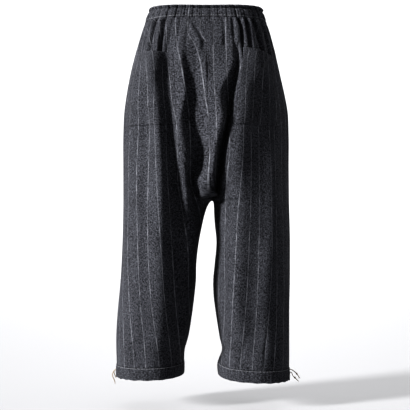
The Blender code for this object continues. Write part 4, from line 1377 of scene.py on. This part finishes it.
WAIST_SEAM_ROW = 21
HEM_SEAM_ROW = 1
POCKET_EDGE = 2
POCKET_HEM_ROW = 5
POCKET_SEAMS = (
    (slice(None), POCKET_EDGE),
    (slice(None), -1 - POCKET_EDGE),
    (-1 - POCKET_EDGE, slice(None)),
    (POCKET_HEM_ROW, slice(None)),
)
line = face_line(waist_points[WAIST_SEAM_ROW], waist_normal[WAIST_SEAM_ROW], WAIST_SPREAD, True)
sew("waist_stitches", [line], pale_thread)
for side in SIDE_SIGN:
    points, out = hem_rings[side]
    line = face_line(points[HEM_SEAM_ROW], out[HEM_SEAM_ROW], DOUBLED, True)
    sew(f"hem_{side}_stitches", [line], pale_thread)
    points, out = pocket_grid[side]
    thick = pocket_thickness[..., None]
    lines = [face_line(points[seam], out[seam], thick[seam]) for seam in POCKET_SEAMS]
    sew(f"pocket_{side}_stitches", lines, dark_thread)

# %% [markdown]
# ## Floor and light
# A pale studio floor and three broad lights: the key from the left, which models the folds as in
# the photograph, a weaker one for the front, and one straight above for the floor. The surround is
# white level with the camera and dim overhead, so the backdrop looks white and the folds stay deep.

# %% Floor, lights and surround
FLOOR_Z = -1.112
FLOOR_RADIUS = 9.0
FLOOR_SIDES = 96
FLOOR_COLOUR = (0.27, 0.27, 0.278, 1)
FLOOR_FADE = (2.6, 8.0)
KEY = {"angle": 10, "aside": 59, "above": 20, "strength": 6.6}
FRONT = {"angle": 14, "aside": 180, "above": 22, "strength": 4.2}
TOP = {"angle": 60, "aside": 0, "above": 88, "strength": 1.0}
LEVEL_SKY = (0.18, (0.86, 0.86, 0.87, 1))
HIGH_SKY = (0.40, (0.10, 0.10, 0.105, 1))
WALL_BEHIND = {"From Min": -0.2, "From Max": 0.6, "To Min": 0.42}
select_only()
bpy.ops.mesh.primitive_circle_add(vertices=FLOOR_SIDES, radius=FLOOR_RADIUS, fill_type="NGON")
floor = bpy.context.object
floor.name = "studio_floor"
floor.location = (0, 0, FLOOR_Z)
floor_finish = Finish("floor", Roughness=0.9, Base_Color=FLOOR_COLOUR)
around = floor_finish.node("TexCoord", output="Object")
away = floor_finish.node("VectorMath", {"operation": "LENGTH"}, {0: around}, output="Value")
floor_finish.feed(floor_finish.shader.inputs["Alpha"], floor_finish.step(away, *FLOOR_FADE))
floor.data.materials.append(floor_finish.material)


def broad_light(name, angle, aside, above, strength):
    """A light from far away: aside is its angle left of the camera, above its height."""
    select_only()
    bpy.ops.object.light_add(type="SUN", location=(0, 0, 2))
    light = bpy.context.object
    light.name = name
    light.data.angle = math.radians(angle)
    light.data.energy = strength
    aside, above = math.radians(aside), math.radians(above)
    place = Vector((-math.sin(aside), -math.cos(aside), math.tan(above)))
    light.rotation_euler = (-place).to_track_quat("-Z", "Y").to_euler()


for name, sizes in (("key", KEY), ("front", FRONT), ("top", TOP)):
    broad_light(name, **sizes)
world = bpy.data.worlds.new("studio")
bpy.context.scene.world = world
world.use_nodes = True
sky, wired = world.node_tree.nodes, world.node_tree.links
place = sky.new("ShaderNodeTexCoord")
height = sky.new("ShaderNodeSeparateXYZ")
ramp = sky.new("ShaderNodeValToRGB")
wall_behind = sky.new("ShaderNodeMapRange")
for socket, value in WALL_BEHIND.items():
    wall_behind.inputs[socket].default_value = value
for element, (position, colour) in zip(ramp.color_ramp.elements, (LEVEL_SKY, HIGH_SKY)):
    element.position = position
    element.color = colour
wired.new(place.outputs["Generated"], height.inputs[0])
wired.new(height.outputs["Z"], ramp.inputs[0])
wired.new(height.outputs["Y"], wall_behind.inputs[0])
wired.new(ramp.outputs[0], sky["Background"].inputs["Color"])
wired.new(wall_behind.outputs[0], sky["Background"].inputs["Strength"])
bpy.context.scene.view_settings.view_transform = "Standard"
bpy.context.scene.view_settings.look = "High Contrast"
print("floor at", FLOOR_Z, "lights:", [light.name for light in bpy.data.lights])
